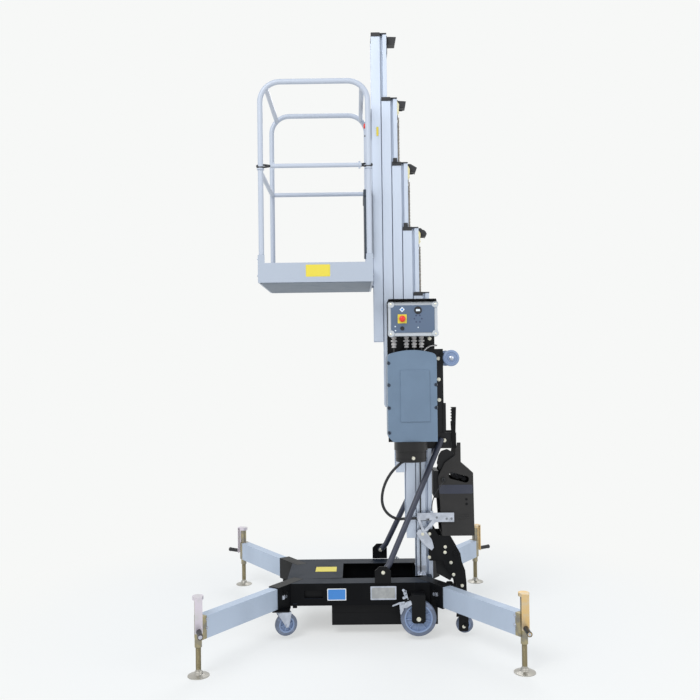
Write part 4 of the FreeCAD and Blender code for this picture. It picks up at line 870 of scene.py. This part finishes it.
flat(rim, [
    (409, 1687), (428, 1703), (447, 1714), (484, 1720), (484, 1725), (446, 1719), (425, 1708),
    (405, 1691),
], -179, -175, 1)
piece("lip_rim", rim, "base", GLAND_GREY, bevel=0.0005)

# Power unit. A vacuum-formed grey cover with an arched top and a raised field, held by bolts in
# dark recesses down its sides, over the pump. The pump's motor hangs below in a black sleeve.

COVER_FACE, COVER_LOW, COVER_HIGH = -306, 1149, 543
MOTOR_FACE = -316
COVER_GREY = moulded("cover grey", paint(102, 122, 144), 0.42, 0.0016)
MOTOR_BLACK = coated("motor black", paint(15, 15, 17), 0.3, 0.01, 0.4)
DARK_BOLT = plated("dark bolt", paint(74, 84, 98), paint(58, 66, 80))

dressed("power_cover", COVER_GREY, 0.005)
dressed("pump_motor", MOTOR_BLACK, 0.002)
recesses = [
    (x, COVER_FACE + 12, COVER_LOW + COVER_HIGH * share)
    for x, shares in ((186, (0.1, 0.37, 0.62, 0.86)), (462, (0.37, 0.62))) for share in shares
]
spun("cover_bolts", recesses, OUT, [
    (0, 0), (11, 0), (12, 3), (9, 14), (6, 14), (5, 10), (0, 10),
], 24, DARK_BOLT, 35)
sleeve = bmesh.new()
for z in (1078, 1040):
    turned(sleeve, (316, -222, z), (0, 0, 1), [(91, 0), (94, 1), (94, 6), (91, 7)], 64)
rod(sleeve, (324, -300, 1053), (324, MOTOR_FACE, 1053), 12)
piece("motor_bands", sleeve, "base", MOTOR_BLACK, smooth=30)
near_bolts("motor_bolt", MOTOR_FACE, 7, [(324, 1053)])

# Behind the mast. Black side rails carry the loading rollers on an axle, a serrated grip lever and
# the head of the braces. Below stands a folded sheet box, with bars through its slot, on lobed
# plates that are bolted to the mast.

ROLLER_X, ROLLER_Z = 573, 1642
REAR_FACE = -112
RAIL_BLACK = coated("rail black", paint(20, 21, 24), 0.42, 0.02, 0.3)
REAR_COAT = coated("rear box coat", paint(42, 41, 41), 0.48, 0.03, 0.3)
BAND_BLUE = coated("band blue", paint(44, 48, 64), 0.35)

dressed("rear_rails", RAIL_BLACK, 0.0015)
dressed("grip_lever", BLACK_COAT, 0.0015)
dressed("rear_box", REAR_COAT, 0.002)
near_bolts("rail_bolts", -83, 8, [(504, 1640), (504, 1511), (505, 1384)])
near_bolts("head_bolts", -89, 8, [(533, 1134), (589, 1112)])
for side, sign in (("near", -1), ("far", 1)):
    body = f"loading_roller_{side}"
    spun(f"roller_{side}", [(ROLLER_X, 150 * sign, ROLLER_Z)], (0, sign, 0), [
        (8.2, -19), (44, -19), (49, -15), (50, -10), (50, 10), (49, 15), (44, 19), (36, 19), (35, 15),
        (22, 15), (21, 20), (8.2, 20),
    ], 64, RIM, body=body, replaced=(body,))
    spun(f"roller_cap_{side}", [(ROLLER_X, 170 * sign, ROLLER_Z)], (0, sign, 0), [
        (0, -2), (14, -2), (14, 3), (11, 6), (0, 7),
    ], 32, BRIGHT_ZINC)
band = [(494, 808), (702, 808), (700, 863), (492, 863)]
on_face("rear_band", band, 1.5, BAND_BLUE, REAR_FACE, 10)
# Two black discs stand for holes in the box: their black is painted shade.
spun("rear_holes_painted_shade", [(660, REAR_FACE + 1, 773), (661, REAR_FACE + 1, 744)], OUT, [
    (0, 0), (8, 0), (8, 1.6), (6, 1.8), (5, 1.2), (0, 1.2),
], 20, BLACK_COAT, 35)
ribs = bmesh.new()
for z in (652, 668, 682):
    flat(ribs, oblong(640, z, 36, 2), REAR_FACE - 1.5, REAR_FACE + 1, 2)
piece("rear_ribs", ribs, "base", REAR_COAT, bevel=0.0008)
lobes = bmesh.new()
flat(lobes, [
    (483, 995), (495, 1044), (511, 1069), (548, 1081), (591, 1056), (596, 1031), (565, 1019),
    (547, 994), (534, 964), (497, 952),
], -92, -84, 6)
rod(lobes, (586, -96, 1112), (586, -70, 1112), 19)
block(lobes, (466, -92, 780), (494, 80, 946))
flat(lobes, [(470, 415), (536, 402), (584, 300), (560, 262), (476, 310)], -60, -54, 6)
piece("rear_lobes", lobes, "base", RAIL_BLACK, bevel=0.0015)
spun("cable_grommet", [(521, REAR_FACE, 896)], OUT, [
    (3, -1), (15, -1), (15, 5), (12, 9), (5, 9), (3, 6),
], 32, BLACK_PLASTIC, 50)
bars = bmesh.new()
for x, z in ((586, 918), (606, 908), (626, 912), (648, 898)):
    rod(bars, (x, -104, z), (x, 104, z), 12)
piece("box_works", bars, "base", DECK_COAT_AND_SHEEN)

# Latch. A bright pressed bracket with a window and two legs stands off the mast, with a hanging
# link, and takes the ends of the hose and the thin cable in black rubber.

RIVET = plated("latch rivet", paint(150, 154, 160), paint(120, 124, 132))

dressed("latch_bracket", BRIGHT_ZINC, 0.001)
near_bolts("latch_bolts", -126, 5, [(476, 666), (536, 658), (566, 659)], RIVET)
near_bolts("link_bolt", -121, 7, [(388, 564)])
boot = bmesh.new()
rod(boot, (352, -112, 660), (430, -112, 656), 12, 15)
piece("hose_boot", boot, "base", HOSE_RUBBER, smooth=40)

# Platform. A folded aluminium tray with bolted toe-boards, two bent tube hoops joined by cross
# tubes, a gate bar that slides up the hoops in plastic straps, and the carrier that hangs it on
# the first section, with a document holder and a small control station.

HOOP_Y, GATE_Z, BAR_RADIUS = 330, 2790, 13
STRAP_RADIUS, STRAP_STRETCH, STRAP_TAPER = 0.026, 0.034, 0.4
STATION_X, STATION_Y, STATION_OUT = 76, -78, (-1, -0.2, 0)
RAIL_COAT = coated("rail coat", paint(186, 194, 208), 0.34, 0.02)
TOE_COAT = coated("toe board coat", paint(174, 183, 197), 0.4, 0.03)
# Painted shade: a darker blue grey for the tray's shadowed underside.
UNDERSIDE_SHADE = coated("underside painted shade", paint(96, 110, 126), 0.5, 0.03)
HOLDER_GREY = moulded("holder grey", paint(46, 56, 68))

dressed("platform_tray", TOE_COAT, 0.0015)
dressed("platform_hoops", RAIL_COAT, 0.0005)
dressed("platform_carrier", RAIL_COAT, 0.002)
holder = bmesh.new()
block(holder, (54, -148, 2293), (100, 148, 2640))
block(holder, (50, -152, 2640), (101, 152, 2684))
piece("holder_box", holder, "stage_1", HOLDER_GREY,
      ("document_holder",), bevel=0.004)
# A thin dark sheet under the tray: painted shade where its underside lies in shadow.
below = bmesh.new()
block(below, (-566, -338, 2095.5), (88, 338, 2099))
piece("tray_underside_shade", below, "stage_1", UNDERSIDE_SHADE)
station = bmesh.new()
block(station, (76, -96, 3010), (99, 96, 3176))
block(station, (88, -100, 3010), (101, 100, 3176))
piece("station_body", station, "stage_1", BLACK_PLASTIC, ("platform_station",),
      bevel=0.003)
bar = bmesh.new()
rod(bar, (-498, -HOOP_Y, GATE_Z), (40, -HOOP_Y, GATE_Z), BAR_RADIUS)
for x in (-481, 27):
    rod(bar, (x, -HOOP_Y, GATE_Z - 21), (x, -HOOP_Y, GATE_Z + 21), 6)
    rod(bar, (x - 5, -HOOP_Y, GATE_Z), (x + 5, -HOOP_Y, GATE_Z), 15)
piece("gate_tube", bar, "gate", RAIL_COAT, ("gate_bar",), bevel=0.0008)
for side, x, inward in (("left", -558, 1), ("right", 80, -1)):
    strap = bmesh.new()
    turned(strap, (x, -HOOP_Y, GATE_Z), (0.0, -0.62, 1), [
        (19, -4), (21, -5), (24, -5), (26, -4), (26, 4), (24, 5), (21, 5), (19, 4),
    ], 48)
    middle = at(x, -HOOP_Y, GATE_Z)
    for vert in strap.verts:
        away = (vert.co.x - middle.x) * inward
        if away > 0:
            pull = away / STRAP_RADIUS
            vert.co.x += inward * pull ** 2 * STRAP_STRETCH
            vert.co.y += (middle.y - vert.co.y) * min(pull, 1) * STRAP_TAPER
    piece(f"gate_strap_{side}", strap, "gate", BLACK_PLASTIC, smooth=50)
label("toe_label", (-296, 2130), (-153, 2201), -350, LABEL_YELLOW, LABEL_YELLOW, 6, "stage_1")
toe_bolts = bmesh.new()
for z in (2240, 2141):
    for y in (-330, 330):
        bolt(toe_bolts, (-578, y, z), (-1, 0, 0), 6)
        bolt(toe_bolts, (100, y, z), (1, 0, 0), 6)
piece("toe_bolts", toe_bolts, "stage_1", BRIGHT_ZINC, bevel=0.0004)
spun("station_stop", [(STATION_X, STATION_Y, 3094)], STATION_OUT, [
    (0, -2), (10, -2), (10, 6), (16, 8), (16, 14), (12, 18), (0, 19),
], 32, STOP_RED, 50, "stage_1")
spun("station_toggle", [(STATION_X, STATION_Y, 3032)], STATION_OUT, [
    (0, -2), (7, -2), (7, 9), (5, 13), (0, 13),
], 24, BLACK_PLASTIC, 50, "stage_1")
label("mast_label", (137, 3028), (150, 3084), -94, LABEL_YELLOW, LABEL_YELLOW, 3, "stage_1")
